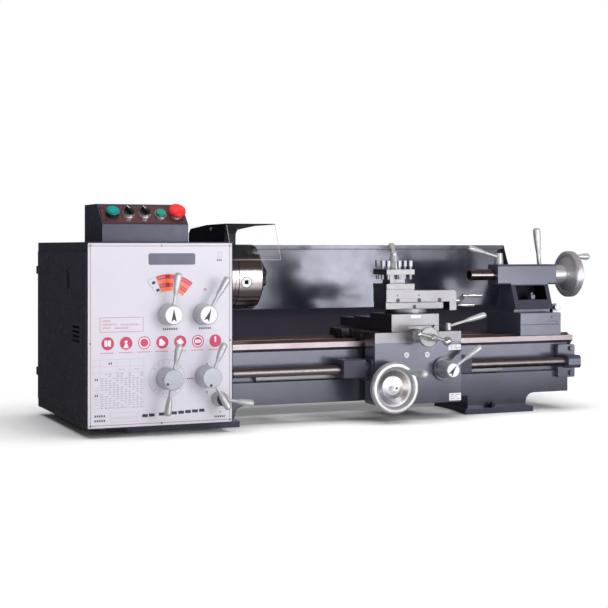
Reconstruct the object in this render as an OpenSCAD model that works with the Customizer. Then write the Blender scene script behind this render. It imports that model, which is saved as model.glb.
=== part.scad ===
// Manual bench lathe. Millimetres, +Z up. The origin is the centre of the four
// stand-bolt holes at bench level, +X runs to the tailstock and +Y to the back.

/* [Bed] */
// Height of the way tops above the bench
way_top = 193.5; // [188:0.5:199]
// Height of the bed's underside above the bench
bed_base = 45; // [38:1:52]
// Width across the outer edges of the ways
bed_w = 186; // [182:1:190]
// Reach of the ways from the mount centre towards the tailstock
bed_right = 663; // [655:1:680]
// Reach of the ways from the mount centre towards the headstock
bed_left = 560; // [550:1:575]
// Height of the ground lip along the edge of the ways
lip_h = 13; // [10:0.5:16]
// Height of the inverted vees above the flat ways
vee_h = 6; // [4:0.5:8]
// Clear width between the two inner ways
way_gap = 76; // [66:1:86]
// Height of the bed's heavy lower flange
flange_h = 55; // [45:1:62]
// Thickness of the cross ribs
rib_t = 12; // [8:1:16]
// Thickness of the foot plates
foot_t = 14; // [11:1:18]
// Depth of the foot plates, front to back
foot_w = 240; // [236:1:260]
// Distance between the stand-bolt holes along the bed
mount_x = 940; // [930:1:950]
// Distance between the stand-bolt holes across the bed
mount_y = 210; // [206:1:214]
// Diameter of the stand-bolt holes
mount_hole_d = 13; // [9:0.5:15]
// Distance of the levelling screws from the mount centre, along the bed
level_x = 408; // [400:1:416]
// Thread diameter of the levelling screws
level_d = 12; // [10:1:14]
// Width across the corners of the levelling nuts
level_nut_d = 19; // [17:0.5:20]
// Room for a socket round each levelling nut
nut_room = 1; // [0.5:0.5:1.5]

/* [Spindle and chuck] */
// Height of the spindle centre above the ways
centre_h = 160; // [156:1:164]
// Bore through the spindle
spindle_bore_d = 38; // [26:1:42]
// Diameter of the spindle journals
journal_d = 64; // [58:1:68]
// Diameter of the flanged spindle nose
nose_d = 156; // [148:1:160]
// Thickness of the spindle nose flange
nose_t = 26; // [20:1:30]
// Diameter of the chuck
chuck_d = 160; // [150:1:166]
// Length of the chuck body
chuck_l = 71; // [66:1:72]
// Position of the chuck's front face along the bed
chuck_face_x = -215; // [-218:1:-212]
// Width of a chuck jaw
jaw_w = 20; // [16:1:22]
// Reach of the jaws beyond the chuck face
jaw_out = 32; // [28:1:36]
// Diameter of the chuck key pinions
pinion_d = 26; // [22:1:28]
// Square of the chuck key
key_sq = 10; // [8:1:11]
// Angle of the first key pinion, from the back of the lathe
pinion_angle = 188; // [180:1:196]

/* [Cabinet] */
// Left side of the cabinet
cab_left = -676; // [-684:1:-672]
// Right side of the cabinet
cab_right = -333; // [-336:1:-328]
// Front face of the control panel
cab_front = -186; // [-190:1:-183]
// Rear face of the cabinet
cab_rear = 328; // [320:1:340]
// Height of the cabinet's lower edge above the bench
cab_base = 20; // [18:1:24]
// Height of the cabinet's top above the bench
cab_top = 438.5; // [434:0.5:446]
// Thickness of the sheet metal
sheet_t = 2.5; // [2:0.5:4]
// Thickness of the front panel
panel_t = 3; // [2:0.5:5]
// Margin of the end door around its opening
door_lap = 5; // [3:1:8]

/* [Gear train] */
// Gear module
gear_m = 2; // [1.75:0.25:2]
// Teeth of the spindle gear and of the leadscrew gear
gear_teeth = 40; // [38:1:40]
// Face width of the change gears
gear_w = 16; // [12:1:18]
// Backlash at the pitch line
backlash = 0.4; // [0.3:0.05:0.6]
// Diameter of the spindle pulley
pulley_d = 144; // [136:1:148]
// Diameter of the motor pulley
motor_pulley_d = 72; // [64:1:80]
// Width of the drive belt
belt_w = 24; // [20:1:26]
// Thickness of the drive belt
belt_t = 6; // [5:0.5:7]
// Diameter of the motor
motor_d = 140; // [130:1:144]

/* [Leadscrew] */
// Distance of the leadscrew in front of the spindle centre
screw_out = 131; // [129:0.5:133]
// Height of the leadscrew above the bench
screw_z = 128; // [126:0.5:130]
// Diameter of the leadscrew
screw_d = 22; // [20:1:24]
// Module of the rack and its pinion
rack_m = 1.5; // [1.25:0.25:1.5]
// Teeth of the rack pinion
pinion_teeth = 27; // [26:1:27]

/* [Carriage] */
// Left edge of the saddle
saddle_left = 43; // [38:1:50]
// Length of the saddle along the bed
saddle_l = 240; // [236:1:250]
// Thickness of the saddle
saddle_t = 23.2; // [21:0.2:26]
// Front face of the apron
apron_front = -165; // [-170:1:-162]
// Height of the apron's lower edge above the bench
apron_base = 40; // [34:1:46]
// Carriage handwheel centre, along the bed
wheel_x = 76; // [72:1:82]
// Diameter of the handwheels
wheel_d = 125; // [116:1:132]
// Half-nut lever centre, along the bed
halfnut_x = 233; // [226:1:238]
// Cross-slide screw centre, along the bed
cross_x = 162; // [158:1:166]
// Width of the cross slide
cross_w = 132; // [128:1:140]
// Height of the cross-slide dovetail
dovetail_h = 16; // [12:1:18]
// Thickness of the cross slide's front part
cross_t = 43.7; // [40:0.1:48]

/* [Compound and tool post] */
// Swivel centre, along the bed
swivel_x = 178; // [175:1:181]
// Swivel centre, in front of the spindle centre
swivel_out = 72; // [70:1:74]
// Diameter of the swivel disc
swivel_d = 110; // [100:1:116]
// Thickness of the swivel disc
swivel_t = 11; // [9:1:13]
// Length of the lower slide
lower_l = 162; // [154:1:166]
// Length of the top slide
top_l = 199; // [194:1:204]
// Width of the top slide
top_w = 75; // [70:1:80]
// Side of the square tool post
post_w = 78; // [74:1:82]
// Height of the tool slots
slot_h = 23; // [20:1:26]
// Height of a tool shank's seat above the top slide's block
post_base_t = 13.5; // [10:0.5:16]

/* [Tailstock] */
// Left edge of the tailstock base
tail_left = 507; // [500:1:512]
// Length of the tailstock base
tail_l = 124; // [118:1:130]
// Left end of the barrel casting
barrel_left = 474; // [470:1:480]
// Length of the barrel casting
barrel_l = 182; // [178:1:188]
// Diameter of the quill
quill_d = 30; // [28:1:34]
// Reach of the quill out of the barrel
quill_out = 73; // [66:1:80]

/* [Splash guard] */
// Front face of the guard's back sheet
splash_y = 290; // [286:1:296]
// Height of the guard's top edge
splash_top = 432.5; // [424:0.5:440]
// Right end of the guard
splash_right = 674; // [670:1:680]

/* [Hidden] */
$fn = 64;
eps = 0.01;
run = 0.05;        // radial running clearance of a shaft in its bore
slide_gap = 0.15;  // clearance of a slide on its guide
gap = 0.3;         // clearance between pieces that pass each other

// Bed
half_w = bed_w / 2;
spindle_z = way_top + centre_h;
ledge_z = bed_base + flange_h;
overhang = 14;
body_right = bed_right - overhang;
left_foot_x = -292;
right_foot_x = 322;
web_y = half_w - 7;
flange_y = half_w - 3;
vee_y = 66;
vee_w = 16;

// Headstock and drive
head_left = cab_left + 76;
head_front = -150;
head_back = 130;
head_top = spindle_z + 66;
head_wall = 14;
inner_right = cab_right - sheet_t;
chuck_back = chuck_face_x - chuck_l;
nose_back = chuck_back - nose_t;
gear_x = head_left - 24;
pulley_x = gear_x - 38;
pulley_w = belt_w + 8;
pitch_r = gear_m * gear_teeth / 2;
screw_y = -screw_out;
motor_y = cab_rear - 93;
motor_z = cab_base + 95;
motor_left = head_left + 10;
motor_l = 200;
hinge_at = [cab_left + 8, cab_rear + 6.3];

// The idler sits where its pitch circle touches both other gears.
train_d = norm([screw_out, spindle_z - screw_z]);
idler_teeth = ceil(train_d / gear_m - gear_teeth) + 1;
idler_c = gear_m * (idler_teeth + gear_teeth) / 2;
train_u = [screw_y, screw_z - spindle_z] / train_d;
idler_side = sqrt(idler_c * idler_c - train_d * train_d / 4);
idler_y = train_u[0] * train_d / 2 + train_u[1] * idler_side;
idler_z = spindle_z + train_u[1] * train_d / 2 - train_u[0] * idler_side;
idler_stub_d = 20;

// Angles of one tooth of each gear, so that the train is in mesh.
line_angle = atan2(idler_z - spindle_z, idler_y);
line_angle_2 = atan2(screw_z - idler_z, screw_y - idler_y);
spindle_tooth = line_angle;
idler_tooth = line_angle + 180 + 180 / idler_teeth;
idler_next = line_angle_2 - idler_tooth;
idler_frac = idler_next * idler_teeth / 360 - floor(idler_next * idler_teeth / 360);
screw_tooth = line_angle_2 + 180 + (0.5 + idler_frac) * 360 / gear_teeth;

// Rack and pinion
pinion_r = rack_m * pinion_teeth / 2;
rack_pitch_z = ledge_z + 6.25;
wheel_z = rack_pitch_z - pinion_r;
rack_left = -245;
rack_right = 442;
rack_front = -half_w - 11;

// Carriage
saddle_right = saddle_left + saddle_l;
saddle_z = way_top + gap;
saddle_top = saddle_z + saddle_t;
saddle_front = apron_front;
cross_boss_y = saddle_front - 38;
saddle_back = 100;
saddle_hang = 2.7;
apron_back = rack_front - 4;
dove_x0 = cross_x - 49;
dove_x1 = cross_x + 54;
dove_in = 8;
cross_front = -150;
cross_step = -28;
cross_back = 76;
cross_z = saddle_top + gap;
cross_top = cross_z + cross_t - gap;
cross_rear_top = cross_top - 13;
cover_z = cross_z + 4;
cover_back = cross_back + 100;
cross_screw_z = saddle_top - 9;
halfnut_z = screw_z - 4;
lock_x = saddle_right - 18;
lock_y = -130;
seat = 0.2;        // film between two pieces that rest on each other

// Compound
disc_top = cross_top + swivel_t;
lower_x0 = swivel_x - 76;
lower_x1 = lower_x0 + lower_l;
lower_t = 17;
lower_top = disc_top + lower_t;
slide_x1 = lower_x0 + top_l;
slide_z = lower_top + gap;
slide_top = disc_top + 46;
block_x1 = lower_x0 + post_w;
block_top = slide_top + 3.5;
top_dove_h = 14;
post_x = lower_x0 + post_w / 2;
post_y = -swivel_out;
post_z = block_top + gap;
seat_z = post_z + post_base_t;
plate_z = seat_z + slot_h;
plate_top = plate_z + 13;
neck_w = 42;
stud_d = 20;
top_screw_z = disc_top + 18;
bracket_w = 20;
tool_screw_d = 8;

// Tailstock
tail_right = tail_left + tail_l;
tail_w = 170;
base_top = way_top + 59.5;
neck_z = base_top + 8;
barrel_r = 27;
barrel_w = 26;
barrel_right = barrel_left + barrel_l;
tower_x0 = tail_left + 7;
tower_x1 = tail_right - 1;
tail_wheel_x = barrel_right + 14 + gap;
quill_tip = barrel_left - quill_out;
quill_l = 179;
tail_screw_d = 15;
quill_lock_x = barrel_left + 26;
quill_lock_y = 12;
clamp_x = barrel_right - 10;
clamp_z = spindle_z - 3.5;
tail_handle_at = [-22, 47.5];  // from the wheel's centre

// Control box
box_x0 = cab_left + 42;
box_x1 = box_x0 + 204;
box_front = -150;
box_back = 11;
slope_y0 = box_front;
slope_z0 = cab_top + 40.5;
slope_y1 = box_front + 44;
slope_z1 = cab_top + 84;
slope_tilt = atan2(slope_z1 - slope_z0, slope_y1 - slope_y0);
button_pitch = 38.1;
button_x = box_x0 + 28.5;
button_r = 11;
plate_t = 2;

// Chuck jaws and guard
jaw_seat = 32;     // depth of a jaw in its slot
jaw_rib = 3;       // depth of the guide ribs in a slot
guard_left = cab_right + 15;
guard_right = chuck_face_x + 25;
guard_t = 2;
guard_pivot = [160, cab_top - 14];
guard_front = [-92, cab_top + 45];
guard_bend_1 = [46, cab_top + 43.5];
guard_bend_2 = [171, cab_top + 35.5];
guard_bend_3 = [186, cab_top + 24];
guard_tail = [188, cab_top - 20];
shield_foot = [-130, cab_top - 42];

// Levers on the panel: [x, z, knob base diameter, knob end diameter, knob length]
lever_a_at = [-489, 274];
lever_b_at = [-406, 273];
lever_c_at = [-493, 129];
lever_d_at = [-400.5, 130.5];
lever_e_at = [-368, 78];
lever_shaft_d = 14;

function mirror_y(p) = [for (q = p) [-q[0], q[1]]];
function ring_at(r, a) = [r * cos(a), r * sin(a)];

// Involute gear outline with straight root lines. tooth_at is the angle of one tooth's middle.
function involute(rb, r) = (sqrt(max(r * r - rb * rb, 0)) / rb) * 180 / PI - acos(min(rb / r, 1));
function gear_points(m, n, tooth_at) =
  let (
    rp = m * n / 2,
    rb = rp * cos(20),
    ra = rp + m,
    rf = rp - 1.25 * m,
    half = 90 / n - backlash / 2 / rp * 180 / PI,
    flank = [for (r = [max(rb, rf + 0.3 * m), rp, ra]) [r, half + involute(rb, rp) - involute(rb, r)]]
  )
  [for (i = [0 : n - 1])
    let (a = tooth_at + 360 * i / n)
    each concat(
      [ring_at(rf, a - flank[0][1] - 0.2)],
      [for (k = [0 : 2]) ring_at(flank[k][0], a - flank[k][1])],
      [for (k = [2 : -1 : 0]) ring_at(flank[k][0], a + flank[k][1])],
      [ring_at(rf, a + flank[0][1] + 0.2)]
    )];

module along_x(x0, x1) {
  translate([x0, 0, 0]) rotate([90, 0, 90]) linear_extrude(x1 - x0) children();
}
module along_y(y0, y1) {
  translate([0, y1, 0]) rotate([90, 0, 0]) linear_extrude(y1 - y0) children();
}
module along_z(z0, z1) {
  translate([0, 0, z0]) linear_extrude(z1 - z0) children();
}
module block(x, y, z) {
  translate([x[0], y[0], z[0]]) cube([x[1] - x[0], y[1] - y[0], z[1] - z[0]]);
}
module rod_x(x, y, z, r) {
  translate([x[0], y, z]) rotate([0, 90, 0]) cylinder(r = r, h = x[1] - x[0]);
}
module rod_y(x, y, z, r) {
  translate([x, y[0], z]) rotate([-90, 0, 0]) cylinder(r = r, h = y[1] - y[0]);
}
module rod_z(x, y, z, r) {
  translate([x, y, z[0]]) cylinder(r = r, h = z[1] - z[0]);
}
// Turned pieces: the profile's first number is a radius, its second a place along the axis.
module turned_x(y, z) {
  translate([0, y, z]) rotate([0, 90, 0]) rotate_extrude() children();
}
module turned_y(x, z) {
  translate([x, 0, z]) rotate([-90, 0, 0]) rotate_extrude() children();
}
module rrect(a, b, r) {
  translate([a[0] + r, a[1]]) square([b[0] - a[0] - 2 * r, b[1] - a[1]]);
  translate([a[0], a[1] + r]) square([b[0] - a[0], b[1] - a[1] - 2 * r]);
  for (x = [a[0] + r, b[0] - r], y = [a[1] + r, b[1] - r]) translate([x, y]) circle(r);
}
// A bar with round ends from p to q.
module link(p, q, r) {
  d = q - p;
  translate(p) circle(r);
  translate(q) circle(r);
  half = r - 0.1;
  translate(p) rotate(atan2(d[1], d[0])) translate([0, -half]) square([norm(d), 2 * half]);
}
// Lever arm along +Z: a slim rod that swells into a rounded grip.
module arm(len, rod_r, grip_r) {
  g = len * 0.55;
  rotate_extrude() polygon([
    [0, 0], [rod_r, 0], [rod_r, len - g], [grip_r * 0.8, len - g * 0.72],
    [grip_r, len - g * 0.28], [grip_r * 0.97, len - 5], [grip_r * 0.72, len - 1.2],
    [grip_r * 0.4, len], [0, len]
  ]);
}
// Dished handwheel on a +Z axis: hub, cone, and a rounded rim.
module dished_wheel(r, hub_r, hub_l, rim_back, rim_w, bore_r) {
  rotate_extrude() polygon([
    [bore_r, 0], [hub_r, 0], [hub_r, hub_l * 0.8], [hub_r - 5, hub_l],
    [r * 0.45, hub_l + 3], [r - 15, rim_back - 2], [r - 13, rim_back - 4], [r - 4, rim_back - 4],
    [r, rim_back], [r, rim_back + rim_w - 4], [r - 4, rim_back + rim_w],
    [r - 10, rim_back + rim_w], [r - 14, rim_back + rim_w - 4], [r - 16, rim_back + 3],
    [r * 0.45, hub_l + 8], [hub_r - 9, hub_l + 10], [bore_r, hub_l + 10]
  ]);
}
// Revolving grip along +Z with a bright waist.
module wheel_grip(len, r) {
  rotate_extrude() polygon([
    [0, 0], [r * 0.62, 0], [r * 0.72, len * 0.25], [r * 0.95, len * 0.6], [r, len * 0.85],
    [r * 0.8, len * 0.97], [r * 0.4, len], [0, len]
  ]);
}

// ---------------------------------------------------------------- bed
module rail_top() {
  polygon([
    [-half_w, way_top - lip_h], [-half_w, way_top],
    [-vee_y - vee_w / 2, way_top], [-vee_y - 1, way_top + vee_h], [-vee_y + 1, way_top + vee_h],
    [-vee_y + vee_w / 2, way_top], [-way_gap / 2, way_top], [-way_gap / 2, way_top - 20],
    [-half_w + 18, way_top - 30], [-web_y, way_top - lip_h - 7]
  ]);
}
module rail_body() {
  polygon([
    [-web_y, way_top - lip_h - 7], [-web_y, ledge_z + 4], [-flange_y, ledge_z],
    [-flange_y, bed_base], [-half_w + 32, bed_base], [-half_w + 32, ledge_z - 12],
    [-half_w + 18, ledge_z + 4], [-half_w + 18, way_top - 30]
  ]);
}
module rail() {
  along_x(-bed_left, bed_right) rail_top();
  along_x(-bed_left, body_right) rail_body();
}
module foot_side(x0, x1, throat) {
  difference() {
    translate([x0, 0]) square([x1 + throat - x0, bed_base + 4]);
    translate([x1 + throat, bed_base - throat]) circle(throat - 0.6);
    translate([x1, -1]) square([throat + 1, bed_base - throat + 1]);
  }
}
module bed() {
  w = foot_w / 2;
  throat = 22;
  color([0.14, 0.15, 0.18]) difference() {
    union() {
      rail();
      mirror([0, 1, 0]) rail();
      rib_n = 9;
      pitch = (bed_left + body_right - rib_t) / rib_n;
      for (i = [0 : rib_n]) {
        x = -bed_left + i * pitch;
        along_x(x, x + rib_t) difference() {
          translate([-half_w + 17, bed_base + 14]) square([bed_w - 34, way_top - 74 - bed_base]);
          translate([0, ledge_z - 2]) circle(22);
        }
      }
      along_y(-flange_y, flange_y) foot_side(-bed_left, left_foot_x - 2, throat);
      along_y(-flange_y, flange_y) foot_side(right_foot_x + 23, right_foot_x + 197, throat);
      along_z(0, foot_t) polygon([
        [-bed_left - 7, -w], [left_foot_x, -w], [left_foot_x, w], [-bed_left - 7, w],
        [-bed_left - 45, w - 75], [-bed_left - 45, 75 - w]
      ]);
      along_z(0, foot_t) polygon([
        [right_foot_x, -w], [right_foot_x + 201, -w], [right_foot_x + 201, w], [right_foot_x + 42, w]
      ]);
    }
    for (x = [-mount_x / 2, mount_x / 2], y = [-mount_y / 2, mount_y / 2])
      rod_z(x, y, [-1, foot_t + 1], mount_hole_d / 2);
    for (x = [-level_x, level_x], y = [-mount_y / 2, mount_y / 2])
      rod_z(x, y, [-1, foot_t + 1], level_d / 2);
    for (x = [-level_x, level_x], y = [-mount_y / 2, mount_y / 2])
      rod_z(x, y, [foot_t + eps, foot_t + 40], level_nut_d / 2 + nut_room);
  }
}
module rack() {
  pitch = PI * rack_m;
  n0 = ceil((rack_left - wheel_x) / pitch);
  n1 = floor((rack_right - wheel_x) / pitch) - 1;
  tip = rack_pitch_z - rack_m;
  root = rack_pitch_z + 1.25 * rack_m;
  flat = pitch / 4 - backlash / 4;
  color("silver") along_y(rack_front, -web_y) polygon(concat(
    [[wheel_x + n1 * pitch + pitch, root + 7], [wheel_x + n0 * pitch, root + 7],
     [wheel_x + n0 * pitch, root]],
    [for (i = [n0 : n1])
      let (c = wheel_x + (i + 0.5) * pitch)
      each [[c - flat - 0.455 * rack_m, root], [c - flat + 0.364 * rack_m, tip],
            [c + flat - 0.364 * rack_m, tip], [c + flat + 0.455 * rack_m, root]]],
    [[wheel_x + n1 * pitch + pitch, root]]
  ));
}
module levelling_screws() {
  color([0.12, 0.12, 0.13]) for (x = [-level_x, level_x], y = [-mount_y / 2, mount_y / 2]) {
    rod_z(x, y, [0, foot_t + 1], level_d / 2);
    translate([x, y, foot_t]) cylinder(d = level_nut_d, h = 8, $fn = 6);
    rod_z(x, y, [foot_t + 8, foot_t + 14], level_d / 2 - 1);
  }
}
module leadscrew_bracket() {
  x0 = body_right - 39;
  z0 = ledge_z - 17;
  z1 = way_top - lip_h - 11;
  back = -flange_y;
  color([0.1, 0.1, 0.12]) difference() {
    union() {
      along_y(back - 14, back) rrect([x0, z0], [x0 + 52, z1], 5);
      block([x0 + 4, body_right - 1], [back - eps, -web_y], [ledge_z + 6, z1 - 4]);
      along_x(x0, x0 + 37) rrect([screw_y - 24, screw_z - 17], [back - 8, screw_z + 16], 9);
    }
    rod_x([x0 - 1, x0 + 38], screw_y, screw_z, screw_d / 2 - 3 + run);
  }
  color("silver") for (z = [z0 + 11, z1 - 11]) rod_y(x0 + 40, [back - 20, back - 14], z, 6.5);
}
// ------------------------------------------------- splash guard
module splash_guard() {
  t = 2;
  bend_z = 259;
  trough_y = splash_y - 125;
  trough_z = bend_z - 114;
  foot_y = flange_y;
  foot_z = ledge_z - 34;
  color([0.16, 0.17, 0.21]) {
    along_x(cab_right, splash_right) polygon([
      [splash_y, bend_z], [splash_y, splash_top - t], [splash_y - 10, splash_top - t],
      [splash_y - 10, splash_top - 10.5], [splash_y - 10 - t, splash_top - 10.5],
      [splash_y - 10 - t, splash_top], [splash_y + t, splash_top], [splash_y + t, bend_z - t],
      [trough_y + 1, trough_z - t], [foot_y + t, trough_z - 17], [foot_y + t, foot_z],
      [foot_y, foot_z], [foot_y, trough_z - 14], [trough_y, trough_z]
    ]);
    along_x(splash_right, splash_right + t) polygon([
      [splash_y + t, splash_top], [splash_y - 12, splash_top], [splash_y - 34, splash_top - 48],
      [half_w + 34, way_top], [half_w, way_top - 8], [foot_y, trough_z - 17],
      [trough_y + 1, trough_z - t], [splash_y + t, bend_z - t]
    ]);
  }
}
// ---------------------------------------------- cabinet and panel
module door_knuckle(z, h) {
  rod_z(hinge_at[0], hinge_at[1], [z, z + h], 5.6);
}
module cabinet() {
  front = cab_front + panel_t;
  lip = 12;
  color([0.12, 0.12, 0.17]) difference() {
    union() {
      block([cab_left, cab_right], [front, cab_rear], [cab_base, cab_top]);
      for (z = [cab_base + 60, cab_top - 100]) {
        door_knuckle(z, 20);
        block([hinge_at[0], hinge_at[0] + 26], [cab_rear - eps, cab_rear + 2], [z, z + 20]);
        rod_z(hinge_at[0], hinge_at[1], [z + 20 - eps, z + 34], 2.5);
      }
    }
    block([cab_left + sheet_t, inner_right], [front + sheet_t, cab_rear - sheet_t],
      [cab_base - 1, cab_top - sheet_t]);
    block([cab_left + lip, cab_right - lip], [front - 1, front + sheet_t + 1],
      [cab_base + lip, cab_top - lip]);
    block([cab_left - 1, cab_left + sheet_t + 1], [front + lip, cab_rear - lip],
      [cab_base + 26, cab_top - 27]);
    along_x(inner_right - 1, cab_right + 1) {
      translate([-half_w - gap, cab_base - 1]) square([bed_w + 2 * gap, way_top + vee_h + 2 - cab_base]);
      translate([0, spindle_z]) circle(nose_d / 2 - 14);
      translate([screw_y, screw_z]) circle(screw_d / 2 + 3.5);
    }
  }
}
module front_panel() {
  m = 3;
  color([0.88, 0.88, 0.9]) difference() {
    along_y(cab_front, cab_front + panel_t)
      rrect([cab_left + m - 3, cab_base + m], [cab_right - m, cab_top - m + 0.5], 3);
    for (p = [lever_a_at, lever_b_at, lever_c_at, lever_d_at, lever_e_at])
      rod_y(p[0], [cab_front - 1, cab_front + panel_t + 1], p[1], lever_shaft_d / 2 + 0.5);
  }
}
// --------------------------------------------------- headstock
module headstock() {
  c = head_wall;
  color([0.3, 0.33, 0.36]) difference() {
    block([head_left, inner_right], [head_front, head_back], [way_top, head_top]);
    block([head_left + c, inner_right - c], [head_front + c, head_back - c], [way_top + 26, head_top + 1]);
    mirror([0, 1, 0]) vee_groove(head_left - 1, inner_right + 1);
    vee_groove(head_left - 1, inner_right + 1);
    rod_x([head_left - 1, inner_right + 1], 0, spindle_z, journal_d / 2 + run);
    for (p = [lever_a_at, lever_b_at])
      rod_y(p[0], [head_front - 1, head_front + c + 1], p[1], lever_shaft_d / 2 + run);
    rod_x([head_left - 1, head_left + 9], idler_y, idler_z, 5);
  }
}
// Clearance groove over one vee of the bed.
module vee_groove(x0, x1) {
  along_x(x0, x1) polygon([
    [-vee_y - vee_w / 2 - 1, way_top - 1], [-vee_y - vee_w / 2 - 1, way_top + gap],
    [-vee_y - 1.6, way_top + vee_h + 0.6], [-vee_y + 1.6, way_top + vee_h + 0.6],
    [-vee_y + vee_w / 2 + 1, way_top + gap], [-vee_y + vee_w / 2 + 1, way_top - 1]
  ]);
}
module feed_gearbox() {
  x0 = head_left + 40;
  y0 = cab_front + panel_t + sheet_t + 8;
  c = 12;
  color([0.3, 0.33, 0.36]) difference() {
    along_x(x0, inner_right) rrect([y0, bed_base + 4], [-half_w, way_top - 1], 4);
    along_x(x0 + c, inner_right - c) rrect([y0 + c, bed_base + 4 + c], [-half_w - c, way_top - 1 - c], 3);
    rod_x([x0 - 1, inner_right + 1], screw_y, screw_z, screw_d / 2 - 3 + run);
    for (p = [lever_c_at, lever_d_at, lever_e_at])
      rod_y(p[0], [cab_front, -screw_out - 22], p[1], lever_shaft_d / 2 + run);
  }
}
module gear_bracket() {
  x0 = head_left - 6;
  color([0.35, 0.36, 0.38]) difference() {
    union() {
      along_x(x0, head_left) difference() {
        union() {
          link([screw_y, screw_z], [idler_y, idler_z], 24);
          link([idler_y, idler_z], [idler_y + 46, idler_z + 6], 20);
        }
        link([screw_y + 13, screw_z + 32], [screw_y + 28, screw_z + 72], 6);
      }
      rod_x([gear_x - 3, x0 + eps], idler_y, idler_z, idler_stub_d / 2);
      rod_x([head_left - eps, head_left + 8], idler_y, idler_z, 5);
    }
    rod_x([x0 - 1, head_left + 1], screw_y, screw_z, screw_d / 2 - 3 + run);
  }
}
module motor() {
  r = motor_d / 2;
  x1 = motor_left + motor_l;
  color([0.22, 0.25, 0.3]) difference() {
    union() {
      rod_x([motor_left + 22, x1 - 26], motor_y, motor_z, r);
      rod_x([motor_left, motor_left + 22], motor_y, motor_z, r - 4);
      rod_x([x1 - 26, x1], motor_y, motor_z, r - 2);
      for (a = [20 : 20 : 340]) if (a < 70 || a > 230)
        translate([0, motor_y, motor_z]) rotate([a - 90, 0, 0])
          block([motor_left + 30, x1 - 34], [-1.5, 1.5], [r - 2, r + 4]);
      block([motor_left + 34, x1 - 40], [half_w, motor_y - 10], [way_top - lip_h, way_top - 2]);
    }
    rod_x([motor_left - 1, motor_left + 30], motor_y, motor_z, 12 + run);
  }
}
// --------------------------------------------------- belt drive
module belt_line(grow) {
  hull() {
    translate([0, spindle_z]) circle(pulley_d / 2 + grow, $fn = 96);
    translate([motor_y, motor_z]) circle(motor_pulley_d / 2 + grow, $fn = 96);
  }
}
module drive_belt() {
  color([0.08, 0.08, 0.08]) along_x(pulley_x + 4, pulley_x + 4 + belt_w) difference() {
    belt_line(belt_t - 1.5);
    belt_line(-1.2);
  }
}
// Flanged pulley along X, with its rim sunk to take the belt.
module pulley(r, bore) {
  x1 = pulley_x + pulley_w;
  polygon([
    [bore, pulley_x], [r + 2, pulley_x], [r + 2, pulley_x + 3.2], [r - 1.5, pulley_x + 3.6],
    [r - 1.5, x1 - 3.6], [r + 2, x1 - 3.2], [r + 2, x1], [bore, x1]
  ]);
}
module drive_pulley() {
  bore = journal_d / 2 - 9;
  color([0.6, 0.6, 0.62]) {
    difference() {
      union() {
        turned_x(0, spindle_z) pulley(pulley_d / 2, bore);
        rod_x([pulley_x + pulley_w - eps, gear_x - seat], 0, spindle_z, journal_d / 2);
      }
      rod_x([pulley_x - 1, gear_x], 0, spindle_z, bore);
      for (a = [0 : 60 : 300]) translate([0, 0, spindle_z]) rotate([a, 0, 0])
        rod_x([pulley_x - 1, pulley_x + pulley_w + 1], pulley_d / 4 + 12, 0, 10);
    }
    along_x(gear_x, gear_x + gear_w) translate([0, spindle_z]) difference() {
      polygon(gear_points(gear_m, gear_teeth, spindle_tooth));
      circle(bore);
    }
  }
}
module motor_pulley() {
  color([0.6, 0.6, 0.62]) {
    turned_x(motor_y, motor_z) pulley(motor_pulley_d / 2, 0);
    rod_x([pulley_x + pulley_w - eps, motor_left + 28], motor_y, motor_z, 12);
  }
}
module idler_gear() {
  color([0.55, 0.53, 0.5]) difference() {
    along_x(gear_x, gear_x + gear_w) translate([idler_y, idler_z])
      polygon(gear_points(gear_m, idler_teeth, idler_tooth));
    rod_x([gear_x - 1, gear_x + gear_w + 1], idler_y, idler_z, idler_stub_d / 2 + run);
    for (a = [30 : 60 : 330]) translate([0, idler_y, idler_z]) rotate([a, 0, 0])
      rod_x([gear_x - 1, gear_x + gear_w + 1], 52, 0, 20);
  }
}
module leadscrew() {
  r = screw_d / 2;
  x_end = body_right - 39;
  color([0.75, 0.74, 0.72]) {
    along_x(gear_x, gear_x + gear_w) translate([screw_y, screw_z])
      polygon(gear_points(gear_m, gear_teeth, screw_tooth));
    rod_x([gear_x + gear_w - eps, cab_right + 3], screw_y, screw_z, r - 3);
    rod_x([cab_right + 3 - eps, cab_right + 17], screw_y, screw_z, r + 3.5);
    rod_x([cab_right + 17 - eps, x_end - gap], screw_y, screw_z, r);
    rod_x([x_end - gap - eps, x_end + 40], screw_y, screw_z, r - 3);
  }
}
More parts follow.
